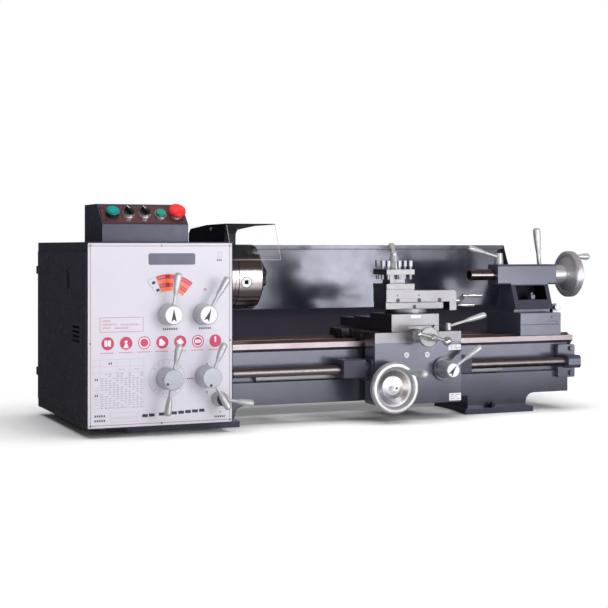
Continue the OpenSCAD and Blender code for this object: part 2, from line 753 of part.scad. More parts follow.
// ------------------------------------------------------- spindle and chuck
module spindle() {
  r = journal_d / 2;
  color([0.7, 0.7, 0.7]) difference() {
    union() {
      rod_x([pulley_x - 5, head_left - 6], 0, spindle_z, r - 9);
      rod_x([gear_x + gear_w, chuck_back], 0, spindle_z, r);
    }
    rod_x([pulley_x - 6, chuck_back + 1], 0, spindle_z, spindle_bore_d / 2);
  }
  // Back plate that carries the chuck, fitted on the spindle's nose.
  color([0.7, 0.7, 0.7]) turned_x(0, spindle_z) polygon([
    [r + run, nose_back], [nose_d / 2 - 12, nose_back], [nose_d / 2 - 12, nose_back + 8],
    [nose_d / 2, nose_back + 8], [nose_d / 2, chuck_back], [r + run, chuck_back]
  ]);
}
function jaw_angle(k) = pinion_angle + 60 + 120 * k;
module at_angle(a) {
  translate([0, 0, spindle_z]) rotate([a, 0, 0]) children();
}
module chuck_body() {
  r = chuck_d / 2;
  w = jaw_w / 2 + slide_gap;
  rib_x = chuck_face_x - 20;
  color([0.75, 0.74, 0.73]) difference() {
    turned_x(0, spindle_z) polygon([
      [spindle_bore_d / 2 + 2, chuck_back], [r - 3, chuck_back], [r - 2, chuck_back + 1],
      [r - 2, chuck_back + 9], [r, chuck_back + 10], [r, chuck_face_x - 3],
      [r - 3, chuck_face_x], [spindle_bore_d / 2 + 2, chuck_face_x]
    ]);
    for (k = [0 : 2]) {
      at_angle(jaw_angle(k)) {
        block([chuck_face_x - jaw_seat, rib_x], [0, r + 1], [-w, w]);
        block([rib_x - 1, rib_x + 7], [0, r + 1], [jaw_rib - w, w - jaw_rib]);
        block([rib_x + 6, chuck_face_x + 1], [0, r + 1], [-w, w]);
      }
      at_angle(pinion_angle + 120 * k)
        rod_y(chuck_back + 27, [r * 0.6, r + 1], 0, pinion_d / 2 + run);
    }
  }
}
module chuck_pinions() {
  r = chuck_d / 2;
  x = chuck_back + 27;
  color([0.8, 0.8, 0.8]) for (k = [0 : 2]) at_angle(pinion_angle + 120 * k) difference() {
    rod_y(x, [r * 0.6, r - 1], 0, pinion_d / 2);
    block([x - key_sq / 2, x + key_sq / 2], [r - 15, r], [-key_sq / 2, key_sq / 2]);
  }
}
// One step of a jaw: its tip is a 120 degree wedge, so that three jaws close together.
module jaw_step(x0, x1, r1) {
  w = jaw_w / 2;
  along_x(x0, x1) polygon([
    [2, -3], [(w + 0.3) / tan(60), -w], [r1, -w], [r1, w], [(w + 0.3) / tan(60), w], [2, 3]
  ]);
}
module jaw(k) {
  x = chuck_face_x;
  w = jaw_w / 2;
  r = chuck_d / 2;
  color([0.6, 0.6, 0.6]) at_angle(jaw_angle(k)) difference() {
    union() {
      jaw_step(x - jaw_seat + gap, x + eps, r - 18);
      jaw_step(x, x + jaw_out / 3, r - 26);
      jaw_step(x, x + jaw_out * 2 / 3, r - 42);
      jaw_step(x, x + jaw_out, r - 58);
    }
    for (s = [-1, 1])
      block([x - 20 - slide_gap, x - 14 + slide_gap], [0, r],
        [s * (w - jaw_rib / 2) - jaw_rib / 2 - eps, s * (w - jaw_rib / 2) + jaw_rib / 2 + eps]);
  }
}
module jaw_1() { jaw(0); }
module jaw_2() { jaw(1); }
module jaw_3() { jaw(2); }
// ------------------------------------------------------- chuck guard
module guard_bracket() {
  color([0.6, 0.6, 0.62]) {
    rod_x([cab_right, cab_right + 4], guard_pivot[0], guard_pivot[1], 13);
    rod_x([cab_right + 4 - eps, guard_left + 8], guard_pivot[0], guard_pivot[1], 7);
  }
}
module chuck_guard() {
  t = guard_t;
  color([0.08, 0.08, 0.1]) difference() {
    union() {
      along_x(guard_left, guard_right) polygon([
        guard_front, guard_bend_1, guard_bend_2, guard_bend_3, guard_tail, guard_tail - [t, 0],
        guard_bend_3 - [t, t * 0.4], guard_bend_2 - [t * 0.5, t], guard_bend_1 - [0, t], guard_front - [0, t]
      ]);
      along_x(guard_left, guard_left + t) polygon([
        guard_front, guard_bend_1, guard_bend_2, guard_bend_3, guard_tail, guard_tail - [0, 28],
        guard_pivot - [14, 24], [20, cab_top - 20], [guard_front[0] + 10, cab_top - 6]
      ]);
      rod_x([guard_left - 10, guard_left + 6], guard_pivot[0], guard_pivot[1], 14);
    }
    rod_x([guard_left - 11, guard_left + 9], guard_pivot[0], guard_pivot[1], 7 + run);
  }
}
module guard_shield() {
  t = 3;
  n = guard_front - [0, guard_t + seat];
  slope = (guard_bend_1[1] - guard_front[1]) / (guard_bend_1[0] - guard_front[0]);
  color([0.8, 0.85, 0.9, 0.3]) along_x(guard_left + guard_t + 1, guard_right) polygon([
    n, n + [14, 14 * slope], n + [12, 12 * slope - t], n + [t, -t], shield_foot + [t, 0], shield_foot
  ]);
}
// ------------------------------------------------------- end door
module end_door() {
  x0 = cab_left - 3.3;
  x1 = cab_left - gap;
  y0 = cab_front + panel_t + 12 - door_lap;
  y1 = cab_rear - 10.5;
  z0 = cab_base + 26 - door_lap;
  z1 = cab_top - 27 + door_lap;
  cup = 8;
  color([0.12, 0.12, 0.17]) difference() {
    union() {
      block([x0, x1], [y0, y1], [z0, z1]);
      for (z = [cab_base + 60, cab_top - 100]) {
        door_knuckle(z + 20 + gap, 20);
        block([x0, x1], [y1 - eps, hinge_at[1] + 2], [z + 20 + gap, z + 40 + gap]);
        block([x0, hinge_at[0]], [hinge_at[1] - 1, hinge_at[1] + 2], [z + 20 + gap, z + 40 + gap]);
      }
      along_x(x1 - eps, x1 + cup) door_oval(8);
    }
    along_x(x0 - 1, x1 + cup - 2) door_oval(6);
    for (z = [cab_base + 60, cab_top - 100])
      rod_z(hinge_at[0], hinge_at[1], [z + 19, z + 35], 2.5 + run);
    for (i = [0 : 3]) along_x(x0 - 1, x1 + 1)
      rrect([y0 + 56, z0 + 169 + 10.5 * i], [y0 + 126, z0 + 174.5 + 10.5 * i], 2.5);
  }
}
// Outline of the oval finger cup in the end door.
module door_oval(r) {
  link([cab_front + 176, cab_top - 97], [cab_front + 176, cab_top - 79], r + 8);
}
// ------------------------------------------------------- control box
module on_slope(i) {
  x = button_x + i * button_pitch;
  translate([x, (slope_y0 + slope_y1) / 2, (slope_z0 + slope_z1) / 2]) rotate([slope_tilt, 0, 0]) children();
}
module box_section(foot) {
  polygon([
    [box_front, foot], [slope_y0, slope_z0], [slope_y1, slope_z1],
    [slope_y1 + 10, slope_z1 + 4], [box_back, slope_z1 + 4], [box_back, foot]
  ]);
}
module control_box() {
  color([0.1, 0.1, 0.13]) difference() {
    along_x(box_x0, box_x1) box_section(cab_top);
    along_x(box_x0 + sheet_t, box_x1 - sheet_t) offset(delta = -sheet_t) box_section(cab_top - 10);
    for (i = [0 : 4]) on_slope(i) rod_z(0, 0, [-18, 1], button_r - 2.5 + gap);
  }
}
module control_plate() {
  half = norm([slope_y1 - slope_y0, slope_z1 - slope_z0]) / 2 - 4;
  bezel_h = [0, 3, 3, 3, 3];
  color([0.38, 0.22, 0.22]) difference() {
    union() {
      on_slope(0) translate([box_x0 + 4 - button_x, -half, 0])
        cube([box_x1 - box_x0 - 8, 2 * half, plate_t]);
      for (i = [1 : 4]) on_slope(i) rod_z(0, 0, [plate_t - eps, plate_t + bezel_h[i]], button_r + 3.5);
    }
    for (i = [0 : 4]) on_slope(i) rod_z(0, 0, [-1, 8], button_r + gap);
  }
}
module pilot_lamp() {
  color([0, 0.6, 0.5]) on_slope(0) {
    rod_z(0, 0, [-14, plate_t], button_r - 2.5);
    rod_z(0, 0, [plate_t, plate_t + 12], button_r + 4);
    rod_z(0, 0, [plate_t + 12 - eps, plate_t + 15], button_r + 1);
  }
}
module selector() {
  color([0.1, 0.1, 0.1]) {
    rod_z(0, 0, [-16, plate_t + 3], button_r - 2.5);
    rod_z(0, 0, [plate_t + 3 + gap, plate_t + 10], button_r + 2);
    rod_z(0, 0, [plate_t + 3 - eps, plate_t + 4], button_r - 2.5);
    rotate([0, 0, 28]) along_z(plate_t + 9, plate_t + 19) rrect([-3.5, -12], [3.5, 12], 3);
  }
}
module selector_left() { on_slope(1) selector(); }
module selector_right() { on_slope(2) selector(); }
module start_button() {
  color([0, 0.55, 0.45]) on_slope(3) {
    rod_z(0, 0, [-12, plate_t + 7], button_r - 2.5);
    rod_z(0, 0, [plate_t + 4, plate_t + 9], button_r - 0.2);
  }
}
module stop_button() {
  color([0.9, 0.1, 0.1]) on_slope(4) {
    rod_z(0, 0, [-12, plate_t + 9], button_r - 2.5);
    rotate_extrude() polygon([
      [0, plate_t + 8], [14, plate_t + 8], [19, plate_t + 10], [20, plate_t + 13],
      [19, plate_t + 17], [14, plate_t + 20], [6, plate_t + 21.5], [0, plate_t + 22]
    ]);
  }
}
// ------------------------------------------------------- levers on the panel
// A knob on a shaft, with arms at angles clockwise from straight up.
module panel_lever(at, d0, d1, len, arms, arm_len, reach) {
  y0 = cab_front - gap;
  tilt = 5;
  translate([at[0], 0, at[1]]) {
    rod_y(0, [y0 - eps, reach], 0, lever_shaft_d / 2);
    turned_y(0, 0) polygon([
      [0, y0], [d0 / 2, y0], [d1 / 2, y0 - len + 2], [d1 / 2 - 2, y0 - len], [0, y0 - len]
    ]);
    for (a = arms)
      translate([0, y0 - len + 11, 0]) rotate([0, a, 0]) rotate([tilt, 0, 0]) arm(arm_len, 3.8, 8.5);
  }
}
module lever_a() { color("silver") panel_lever(lever_a_at, 51, 44, 40, [7], 97, head_front + 12); }
module lever_b() { color("silver") panel_lever(lever_b_at, 51, 44, 40, [29], 99, head_front + 12); }
module lever_c() { color("silver") panel_lever(lever_c_at, 51, 47, 50, [11, 189.5], 82, cab_front + 30); }
module lever_d() { color("silver") panel_lever(lever_d_at, 51, 47, 50, [21, 150.5], 84.5, cab_front + 30); }
module lever_e() { color("silver") panel_lever(lever_e_at, 36, 31, 27, [100], 79, cab_front + 30); }
// ------------------------------------------------------- carriage
// Dovetail section with its top wider than its foot; c is the clearance round it.
module dovetail(x0, x1, inset, z, h, c) {
  polygon([[x0 + inset - c, z - c - eps], [x0 - c, z + h + c], [x1 + c, z + h + c], [x1 - inset + c, z - c - eps]]);
}
module saddle() {
  y1 = saddle_back + 6;
  notch = 27;
  boss_y = cross_boss_y;
  color([0.72, 0.7, 0.69]) difference() {
    union() {
      along_z(saddle_z, saddle_top) difference() {
        translate([saddle_left, saddle_front]) square([saddle_l, y1 - saddle_front]);
        for (x = [saddle_left - 1, saddle_right - notch])
          rrect([x, -48], [x + notch + 1, 42], 8);
      }
      block([saddle_left, saddle_right], [saddle_front, -half_w - gap], [saddle_z - saddle_hang, saddle_z + eps]);
      block([saddle_left, saddle_right], [half_w + gap, y1], [way_top - lip_h, saddle_z + eps]);
      along_y(cross_front + 6, saddle_back)
        dovetail(dove_x0, dove_x1, dove_in, saddle_top - eps, dovetail_h, 0);
      rod_y(cross_x, [boss_y, cross_front + 20], cross_screw_z, 16.5);
    }
    vee_groove(saddle_left - 1, saddle_right + 1);
    mirror([0, 1, 0]) vee_groove(saddle_left - 1, saddle_right + 1);
    rod_y(cross_x, [boss_y - 1, cross_front + 30], cross_screw_z, 6 + run);
    rod_z(lock_x, lock_y, [saddle_z - 5, saddle_top + 1], 5 + run);
  }
}
module apron() {
  top = saddle_z - saddle_hang;
  c = 13;
  color([0.2, 0.21, 0.25]) difference() {
    union() {
      along_y(apron_front, apron_back) rrect([saddle_left, apron_base], [saddle_right, top], 5);
      block([saddle_left, saddle_right], [apron_front, apron_back], [top - 8, top]);
      rod_y(wheel_x, [apron_front - 8, apron_front + eps], wheel_z, 25);
      rod_y(halfnut_x, [apron_front - 6, apron_front + eps], halfnut_z, 30.5);
    }
    along_y(apron_front + c, apron_back + 1) rrect([saddle_left + c, apron_base + c], [saddle_right - c, top - c], 4);
    rod_y(wheel_x, [apron_front - 9, apron_front + c + 1], wheel_z, 9 + run);
    rod_x([saddle_left - 1, saddle_right + 1], screw_y, screw_z, screw_d / 2 + 1);
    rod_y(halfnut_x, [apron_front - 7, apron_front + c + 1], halfnut_z, 8 + run);
  }
}
module screw_covers() {
  y1 = rack_front - 2;
  color([0.1, 0.1, 0.11]) difference() {
    union() {
      along_x(saddle_left - 79, saddle_left - 20) rrect([screw_y - 25, screw_z - 21], [y1, screw_z + 25], 4);
      rod_x([saddle_left - 20 - eps, saddle_left - 6 + eps], screw_y, screw_z, screw_d / 2 + 6);
      along_x(saddle_left - 6, saddle_left) rrect([screw_y - 27, screw_z - 30], [y1, screw_z + 24], 5);
      along_x(saddle_right, saddle_right + 36) rrect([screw_y - 25, screw_z - 21], [y1, screw_z + 25], 4);
    }
    rod_x([saddle_left - 80, saddle_right + 37], screw_y, screw_z, screw_d / 2 + 1);
  }
}
module carriage_wheel() {
  y0 = apron_front - 8 - gap;
  color([0.7, 0.7, 0.7]) difference() {
    union() {
      translate([wheel_x, y0, wheel_z]) rotate([90, 0, 0])
        dished_wheel(wheel_d / 2, 18, 14, 26, 15, 0);
      rod_y(wheel_x, [y0 - eps, rack_front], wheel_z, 9);
      along_y(rack_front - eps, -flange_y - 1) translate([wheel_x, wheel_z])
        polygon(gear_points(rack_m, pinion_teeth, 90));
    }
    wheel_handle_at() rod_y(0, [y0 - 42, y0 - 30], 0, 4 + run);
  }
}
module wheel_handle_at() {
  r = wheel_d / 2 - 8;
  translate([wheel_x + r * sin(45), 0, wheel_z + r * cos(45)]) children();
}
module carriage_handle() {
  y0 = apron_front - 8 - gap - 41;
  color([0.75, 0.75, 0.76]) wheel_handle_at() {
    translate([0, y0 - gap, 0]) rotate([90, 0, 0]) wheel_grip(78, 10);
    rod_y(0, [y0 - gap - eps, y0 + 10], 0, 4);
  }
}
module half_nut_lever() {
  y0 = apron_front - 6 - gap;
  color("silver") translate([halfnut_x, 0, halfnut_z]) {
    rod_y(0, [y0 - eps, apron_front + 17], 0, 8);
    turned_y(0, 0) polygon([[0, y0], [22.5, y0], [18, y0 - 42], [16.5, y0 - 44], [0, y0 - 44]]);
    translate([0, y0 - 32, 0]) rotate([0, 55.6, 0]) rotate([4, 0, 0]) arm(99, 3.8, 8.5);
  }
}
module carriage_lock() {
  color("silver") {
    rod_z(lock_x, lock_y, [saddle_z, saddle_top + gap + eps], 5);
    translate([lock_x, lock_y, saddle_top + gap]) cylinder(r1 = 8.5, r2 = 7, h = 18);
    translate([lock_x, lock_y, saddle_top + 9.5]) rotate([0, 75.7, 0]) arm(113, 3.5, 7.5);
  }
}
module cross_slide() {
  x0 = cross_x - cross_w / 2;
  x1 = cross_x + cross_w / 2;
  cx0 = dove_x0 - 7;
  cx1 = dove_x1 + 5;
  color([0.7, 0.69, 0.69]) difference() {
    union() {
      block([x0, x1], [cross_front, cross_step], [cross_z, cross_top]);
      block([x0 + 4, x1 - 4], [cross_step - eps, cross_back], [cross_z, cross_rear_top]);
    }
    along_y(cross_front - 1, cross_back + 1)
      dovetail(dove_x0, dove_x1, dove_in, saddle_top, dovetail_h, gap);
    rod_z(swivel_x, post_y, [cross_top - 7, cross_top + 1], 15 + run);
  }
  color([0.08, 0.08, 0.09]) along_y(cross_back, cover_back) difference() {
    translate([cx0, cross_z]) square([cx1 - cx0, dovetail_h + 8]);
    translate([cx0 + 2.5, cross_z - 1]) square([cx1 - cx0 - 5, dovetail_h + 6.5]);
  }
}
module cross_crank() {
  y0 = cross_boss_y - gap;
  yb = y0 - 40;
  arm_r = 39.5;
  color([0.78, 0.78, 0.78]) translate([cross_x, 0, cross_screw_z]) {
    turned_y(0, 0) polygon([
      [0, y0], [17, y0], [17, y0 - 9], [25, y0 - 10], [25, y0 - 20], [23, y0 - 21],
      [10, y0 - 21], [8, y0 - 34], [0, y0 - 34]
    ]);
    rod_y(0, [y0 - eps, saddle_front + 40], 0, 6);
    rod_y(0, [yb - 6, y0 - 20], 0, 5);
    translate([0, yb, 0]) {
      sphere(9);
      rotate([0, 14.5, 0]) {
        rod_x([-arm_r, arm_r], 0, 0, 4.5);
        translate([-arm_r, 0, 0]) sphere(7.5);
        translate([arm_r, 0, 0]) sphere(11.5);
      }
    }
  }
}
// ------------------------------------------------------- compound and tool post
module swivel_base() {
  y = post_y;
  z0 = cross_top + seat;
  color([0.74, 0.73, 0.73]) {
    rod_z(swivel_x, y, [cross_top - 6, z0 + eps], 15);
    rod_z(swivel_x, y, [z0, disc_top], swivel_d / 2);
    block([lower_x0, lower_x1], [y - top_w / 2 + 3, y + top_w / 2 - 3], [disc_top - eps, lower_top]);
    along_x(lower_x0, lower_x1)
      dovetail(y - 24, y + 24, 6, lower_top - eps, top_dove_h, 0);
  }
}
module top_slide() {
  y = post_y;
  w = top_w / 2;
  bx = slide_x1 - bracket_w;
  rd = 9;
  color([0.76, 0.75, 0.75]) difference() {
    union() {
      block([lower_x0, bx + eps], [y - w, y + w], [slide_z, slide_top]);
      block([lower_x0, block_x1], [y - w, y + w], [slide_top - eps, block_top]);
      along_y(y - w, y + w) {
        translate([bx, disc_top - 5]) square([bracket_w, slide_top - rd - disc_top + 5]);
        translate([bx, disc_top - 5]) square([bracket_w - rd, slide_top - disc_top + 5]);
        translate([slide_x1 - rd, slide_top - rd]) circle(rd);
      }
    }
    along_x(lower_x0 - 1, bx) dovetail(y - 24, y + 24, 6, lower_top, top_dove_h, gap);
    rod_x([bx - 1, slide_x1 + 1], y, top_screw_z, 5 + run);
  }
  color([0.7, 0.7, 0.7]) {
    rod_z(post_x, y, [block_top, plate_top], stud_d / 2);
    rod_z(post_x, y, [plate_top - eps, plate_top + 20], stud_d / 2 - 3);
  }
}
module top_crank() {
  x = slide_x1 + gap;
  grip_y = 20.5;
  grip_z = 13;
  color([0.75, 0.75, 0.76]) translate([0, post_y, top_screw_z]) {
    rod_x([x - 18, x + eps], 0, 0, 5);
    turned_x(0, 0) polygon([[0, x], [20, x], [20, x + 3], [13, x + 9], [7, x + 11], [7, x + 33], [0, x + 33]]);
    along_x(x + 27, x + 33) link([-grip_y, grip_z], [grip_y, -grip_z], 5);
    for (s = [-1, 1]) translate([x + 32, s * grip_y, -s * grip_z]) rotate([0, 90, 0])
      rotate_extrude() polygon([[0, 0], [3, 0], [3, 7], [4.6, 12], [5.8, 30], [5.6, 50], [3.2, 54], [0, 54]]);
  }
}
module post_plate(z0, z1, w) {
  block([post_x - w / 2, post_x + w / 2], [post_y - w / 2, post_y + w / 2], [z0, z1]);
}
module at_tool_screws() {
  r = post_w / 2 - 8;
  for (i = [-1 : 1], j = [-1 : 1]) if (i != 0 || j != 0)
    translate([post_x + i * r, post_y + j * r, 0]) children();
}
module tool_post() {
  color([0.75, 0.75, 0.76]) difference() {
    union() {
      post_plate(post_z, seat_z, post_w);
      post_plate(seat_z - eps, plate_z + eps, neck_w);
      post_plate(plate_z, plate_top, post_w);
    }
    rod_z(post_x, post_y, [post_z - 1, plate_top + 1], stud_d / 2 + run);
    at_tool_screws() rod_z(0, 0, [plate_z - 1, plate_top + 1], tool_screw_d / 2 + run);
  }
}
module tool_screws() {
  color([0.5, 0.5, 0.52]) at_tool_screws() {
    rod_z(0, 0, [plate_z - 12, plate_top + 7], tool_screw_d / 2);
    block([-4, 4], [-4, 4], [plate_top + 7 - eps, plate_top + 22]);
  }
}
module tool_post_lever() {
  z = plate_top + gap;
  color([0.72, 0.72, 0.72]) translate([post_x, post_y, 0]) difference() {
    union() {
      translate([0, 0, z]) cylinder(r = 14, h = 16);
      translate([0, 0, z + 16 - eps]) cylinder(r1 = 14, r2 = 8, h = 22);
      translate([0, 0, z + 38]) sphere(9);
      translate([0, 0, z + 38]) rotate([0, 0, 67]) rotate([0, 77, 0]) arm(94, 4, 9.5);
    }
    rod_z(0, 0, [z - 1, plate_top + 21], stud_d / 2 - 3 + run);
  }
}
// ------------------------------------------------------- tailstock
module tailstock_base() {
  w = tail_w / 2;
  mid = tail_left + tail_l / 2;
  line_z = way_top + 28.5;
  color([0.2, 0.21, 0.25]) difference() {
    union() {
      block([tail_left, tail_right], [-w, w], [way_top + gap, base_top]);
      block([tail_left + 6, tail_right - 6], [-42, 42], [base_top - eps, neck_z]);
      rod_z(mid, 0, [way_top - 42, way_top + 1], 8);
      block([mid - 28, mid + 28], [-54, 54], [way_top - 42, way_top - 31]);
    }
    for (y = [[-w - 1, 0.8 - w], [w - 0.8, w + 1]])
      block([tail_left - 1, tail_right + 1], y, [line_z, line_z + 1.2]);
    vee_groove(tail_left - 1, tail_right + 1);
    mirror([0, 1, 0]) vee_groove(tail_left - 1, tail_right + 1);
  }
  color("silver") {
    rod_x([tail_right, tail_right + 8], -20, base_top - 9, 6);
    block([tail_right - eps, tail_right + 16], [-46, -32], [base_top - 14, base_top + 8]);
    rod_y(tail_right + 15, [-50, -30], base_top + 13, 9);
  }
}
module tailstock_body() {
  z = spindle_z;
  w = barrel_w;
  foot = 50;
  end_t = 4;
  color([0.2, 0.21, 0.25]) difference() {
    union() {
      along_x(barrel_left, barrel_right) rrect([-w, z - barrel_r], [w, z + barrel_r], 5);
      along_x(tower_x0, tower_x1) polygon([
        [-w, z - 20], [w, z - 20], [w, z - barrel_r], [foot, neck_z], [-foot, neck_z], [-w, z - barrel_r]
      ]);
    }
    block([tower_x0 + 13, tower_x1 - 12], [-foot - 1, 22], [z - 67, z - barrel_r - 2.5]);
    rod_x([barrel_left - 1, barrel_right - end_t], 0, z, quill_d / 2 + run);
    rod_x([barrel_right - end_t - 1, barrel_right + 1], 0, z, tail_screw_d / 2 + run);
    rod_z(quill_lock_x, quill_lock_y, [z + barrel_r - 6, z + barrel_r + 1], 5 + run);
    rod_y(clamp_x, [w - 9, w + 1], clamp_z, 6 + run);
  }
  color("silver") translate([tower_x0 + 76, -6, z - 67]) {
    cylinder(r = 11, h = 12, $fn = 6);
    rod_z(0, 0, [0, 18], 5);
  }
}
module quill() {
  r = quill_d / 2;
  x = quill_tip;
  taper_l = 81;
  color([0.68, 0.66, 0.65]) turned_x(0, spindle_z) polygon([
    [11.9, x], [r - 1.5, x], [r, x + 1.5], [r, x + quill_l], [tail_screw_d / 2 + 0.5, x + quill_l],
    [tail_screw_d / 2 + 0.5, x + taper_l], [9.9, x + taper_l]
  ]);
}
module tail_wheel() {
  x = tail_wheel_x;
  color([0.72, 0.72, 0.72]) difference() {
    union() {
      translate([x, 0, spindle_z]) rotate([0, 90, 0]) dished_wheel(wheel_d / 2, 24.5, 24, 36, 17, 0);
      rod_x([barrel_right + gap, x + eps], 0, spindle_z, 25.5);
      rod_x([quill_tip + 140, x + eps], 0, spindle_z, tail_screw_d / 2);
    }
    rod_x([x + 40, x + 54], tail_handle_at[0], spindle_z + tail_handle_at[1], 4 + run);
  }
}
module tail_handle() {
  x = tail_wheel_x + 53 + gap;
  color([0.75, 0.75, 0.76]) translate([0, tail_handle_at[0], spindle_z + tail_handle_at[1]]) {
    translate([x, 0, 0]) rotate([0, 90, 0]) wheel_grip(40, 9);
    rod_x([x - 12, x + eps], 0, 0, 4);
  }
}
module quill_lock() {
  z = spindle_z + barrel_r;
  color("silver") translate([quill_lock_x, quill_lock_y, 0]) {
    rod_z(0, 0, [z - 5, z + gap + eps], 5);
    translate([0, 0, z + gap]) cylinder(r1 = 11.5, r2 = 9, h = 30);
    translate([0, 0, z + 19]) rotate([0, -74.7, 0]) arm(98, 4, 8.5);
  }
}
module clamp_lever() {
  color("silver") translate([clamp_x, 0, clamp_z]) {
    rod_y(0, [barrel_w - 8, barrel_w + gap + eps], 0, 6);
    rod_y(0, [barrel_w + gap, barrel_w + 24], 0, 12);
    translate([0, barrel_w + 13, 0]) rotate([0, -4.9, 0]) arm(130, 5.75, 10);
  }
}

bed();
rack();
leadscrew_bracket();
levelling_screws();
splash_guard();
cabinet();
front_panel();
headstock();
feed_gearbox();
gear_bracket();
motor();
drive_belt();
control_box();
control_plate();
pilot_lamp();
guard_bracket();
spindle();
drive_pulley();
chuck_body();
chuck_pinions();
jaw_1();
jaw_2();
jaw_3();
motor_pulley();
idler_gear();
leadscrew();
chuck_guard();
guard_shield();
end_door();
lever_a();
lever_b();
lever_c();
lever_d();
lever_e();
selector_left();
selector_right();
start_button();
stop_button();
saddle();
apron();
screw_covers();
carriage_wheel();
carriage_handle();
half_nut_lever();
carriage_lock();
cross_slide();
cross_crank();
swivel_base();
top_slide();
top_crank();
tool_post();
tool_screws();
tool_post_lever();
tailstock_base();
tailstock_body();
quill();
tail_wheel();
tail_handle();
quill_lock();
clamp_lever();
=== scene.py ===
import math
import bmesh
import bpy
from mathutils import Matrix, Vector


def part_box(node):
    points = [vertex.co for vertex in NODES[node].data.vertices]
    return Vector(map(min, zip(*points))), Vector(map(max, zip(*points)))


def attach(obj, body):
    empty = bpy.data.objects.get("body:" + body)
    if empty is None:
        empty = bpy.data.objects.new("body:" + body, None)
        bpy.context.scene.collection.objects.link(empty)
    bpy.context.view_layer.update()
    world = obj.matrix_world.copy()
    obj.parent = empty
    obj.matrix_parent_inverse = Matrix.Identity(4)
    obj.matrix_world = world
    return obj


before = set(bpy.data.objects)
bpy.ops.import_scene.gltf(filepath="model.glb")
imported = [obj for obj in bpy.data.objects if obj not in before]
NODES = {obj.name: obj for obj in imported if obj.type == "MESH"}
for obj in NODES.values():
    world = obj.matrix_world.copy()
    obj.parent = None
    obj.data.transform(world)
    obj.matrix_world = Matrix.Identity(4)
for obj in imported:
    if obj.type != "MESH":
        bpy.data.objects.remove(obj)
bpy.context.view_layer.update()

SCENE = bpy.context.scene
MM = 0.001
FORWARD = (0, -1, 0)
LEFTWARD = (-1, 0, 0)


# ------------------------------------------------------------------ materials
PAINT_EDGE = 0.0008    # how far the shader rounds a painted edge, in metres
METAL_EDGE = 0.0005
PLASTIC_EDGE = 0.0006
FINE_RELIEF = 0.0002   # depth of orange peel and of grinding lines, in metres
COOL_GLOSS = (0.84, 0.85, 1.0)
PATCH_SCALE = 9        # noise scales, roughly in features per metre
GLOSS_SCALE = 40
PEEL_SCALE = 900
GRIND_SCALE = 60
STAIN_SCALE = 14
MOULD_SCALE = 60
SHEEN_SCALE = 300
PORE_SCALE = 1500
ROUND_X = (30, 1, 1)   # grain of a part turned about an axis along X
THREAD_PITCH = 0.004


def feed(tree, socket, value):
    """Links an output to a socket, or sets the socket to a plain number or colour."""
    if isinstance(value, bpy.types.NodeSocket):
        tree.links.new(value, socket)
    elif socket.type == "RGBA":
        socket.default_value = (*value, 1)
    else:
        socket.default_value = value


def fill(tree, node, inputs):
    """Links or sets several of a node's inputs by name."""
    for name, value in inputs.items():
        feed(tree, node.inputs[name], value)


def new_material(name):
    material = bpy.data.materials.new(name)
    material.use_nodes = True
    tree = material.node_tree
    return material, tree, tree.nodes["Principled BSDF"]


def object_coords(tree, scale=(1, 1, 1)):
    """Positions on the object, in metres, so that grain stays with the piece."""
    coords = tree.nodes.new("ShaderNodeTexCoord")
    mapping = tree.nodes.new("ShaderNodeMapping")
    fill(tree, mapping, {"Vector": coords.outputs["Object"], "Scale": scale})
    return mapping.outputs["Vector"]


def split_xyz(tree, vector):
    node = tree.nodes.new("ShaderNodeSeparateXYZ")
    feed(tree, node.inputs["Vector"], vector)
    return node.outputs


def noise(tree, vector, scale, detail=3.0, rough=0.5):
    node = tree.nodes.new("ShaderNodeTexNoise")
    fill(tree, node, {"Vector": vector, "Scale": scale, "Detail": detail, "Roughness": rough})
    return node.outputs["Fac"]


def ramp(tree, value, low, high, from_low=0.3, from_high=0.7):
    """Maps from_low..from_high onto low..high."""
    node = tree.nodes.new("ShaderNodeMapRange")
    fill(tree, node, {"Value": value, "From Min": from_low, "From Max": from_high,
                      "To Min": low, "To Max": high})
    return node.outputs["Result"]


def uneven(tree, value, level, low=0.85, high=1.15):
    """A level that wanders between two shares of itself."""
    return ramp(tree, value, level * low, level * high)


def math_node(tree, operation, *values):
    node = tree.nodes.new("ShaderNodeMath")
    node.operation = operation
    for socket, value in zip(node.inputs, values):
        feed(tree, socket, value)
    return node.outputs[0]


def mix(tree, share, a, b, kind="RGBA"):
    """Colour or number a, giving way to b as share rises from 0 to 1."""
    node = tree.nodes.new("ShaderNodeMix")
    node.data_type = kind
    fill(tree, node, {"Factor": share, "A": a, "B": b})
    return node.outputs["Result"]


def mix_shaders(tree, share, a, b):
    """Shader a, giving way to b as share rises from 0 to 1."""
    node = tree.nodes.new("ShaderNodeMixShader")
    for socket, value in zip(node.inputs, (share, a, b)):
        feed(tree, socket, value)
    return node.outputs[0]


def rounded_normal(tree, radius):
    node = tree.nodes.new("ShaderNodeBevel")
    node.samples = 4
    feed(tree, node.inputs["Radius"], radius)
    return node.outputs["Normal"]


def bump(tree, height, strength, distance, radius=0.0):
    """Relief from a height, on edges rounded by radius."""
    node = tree.nodes.new("ShaderNodeBump")
    fill(tree, node, {"Height": height, "Strength": strength, "Distance": distance})
    if radius:
        feed(tree, node.inputs["Normal"], rounded_normal(tree, radius))
    return node.outputs["Normal"]


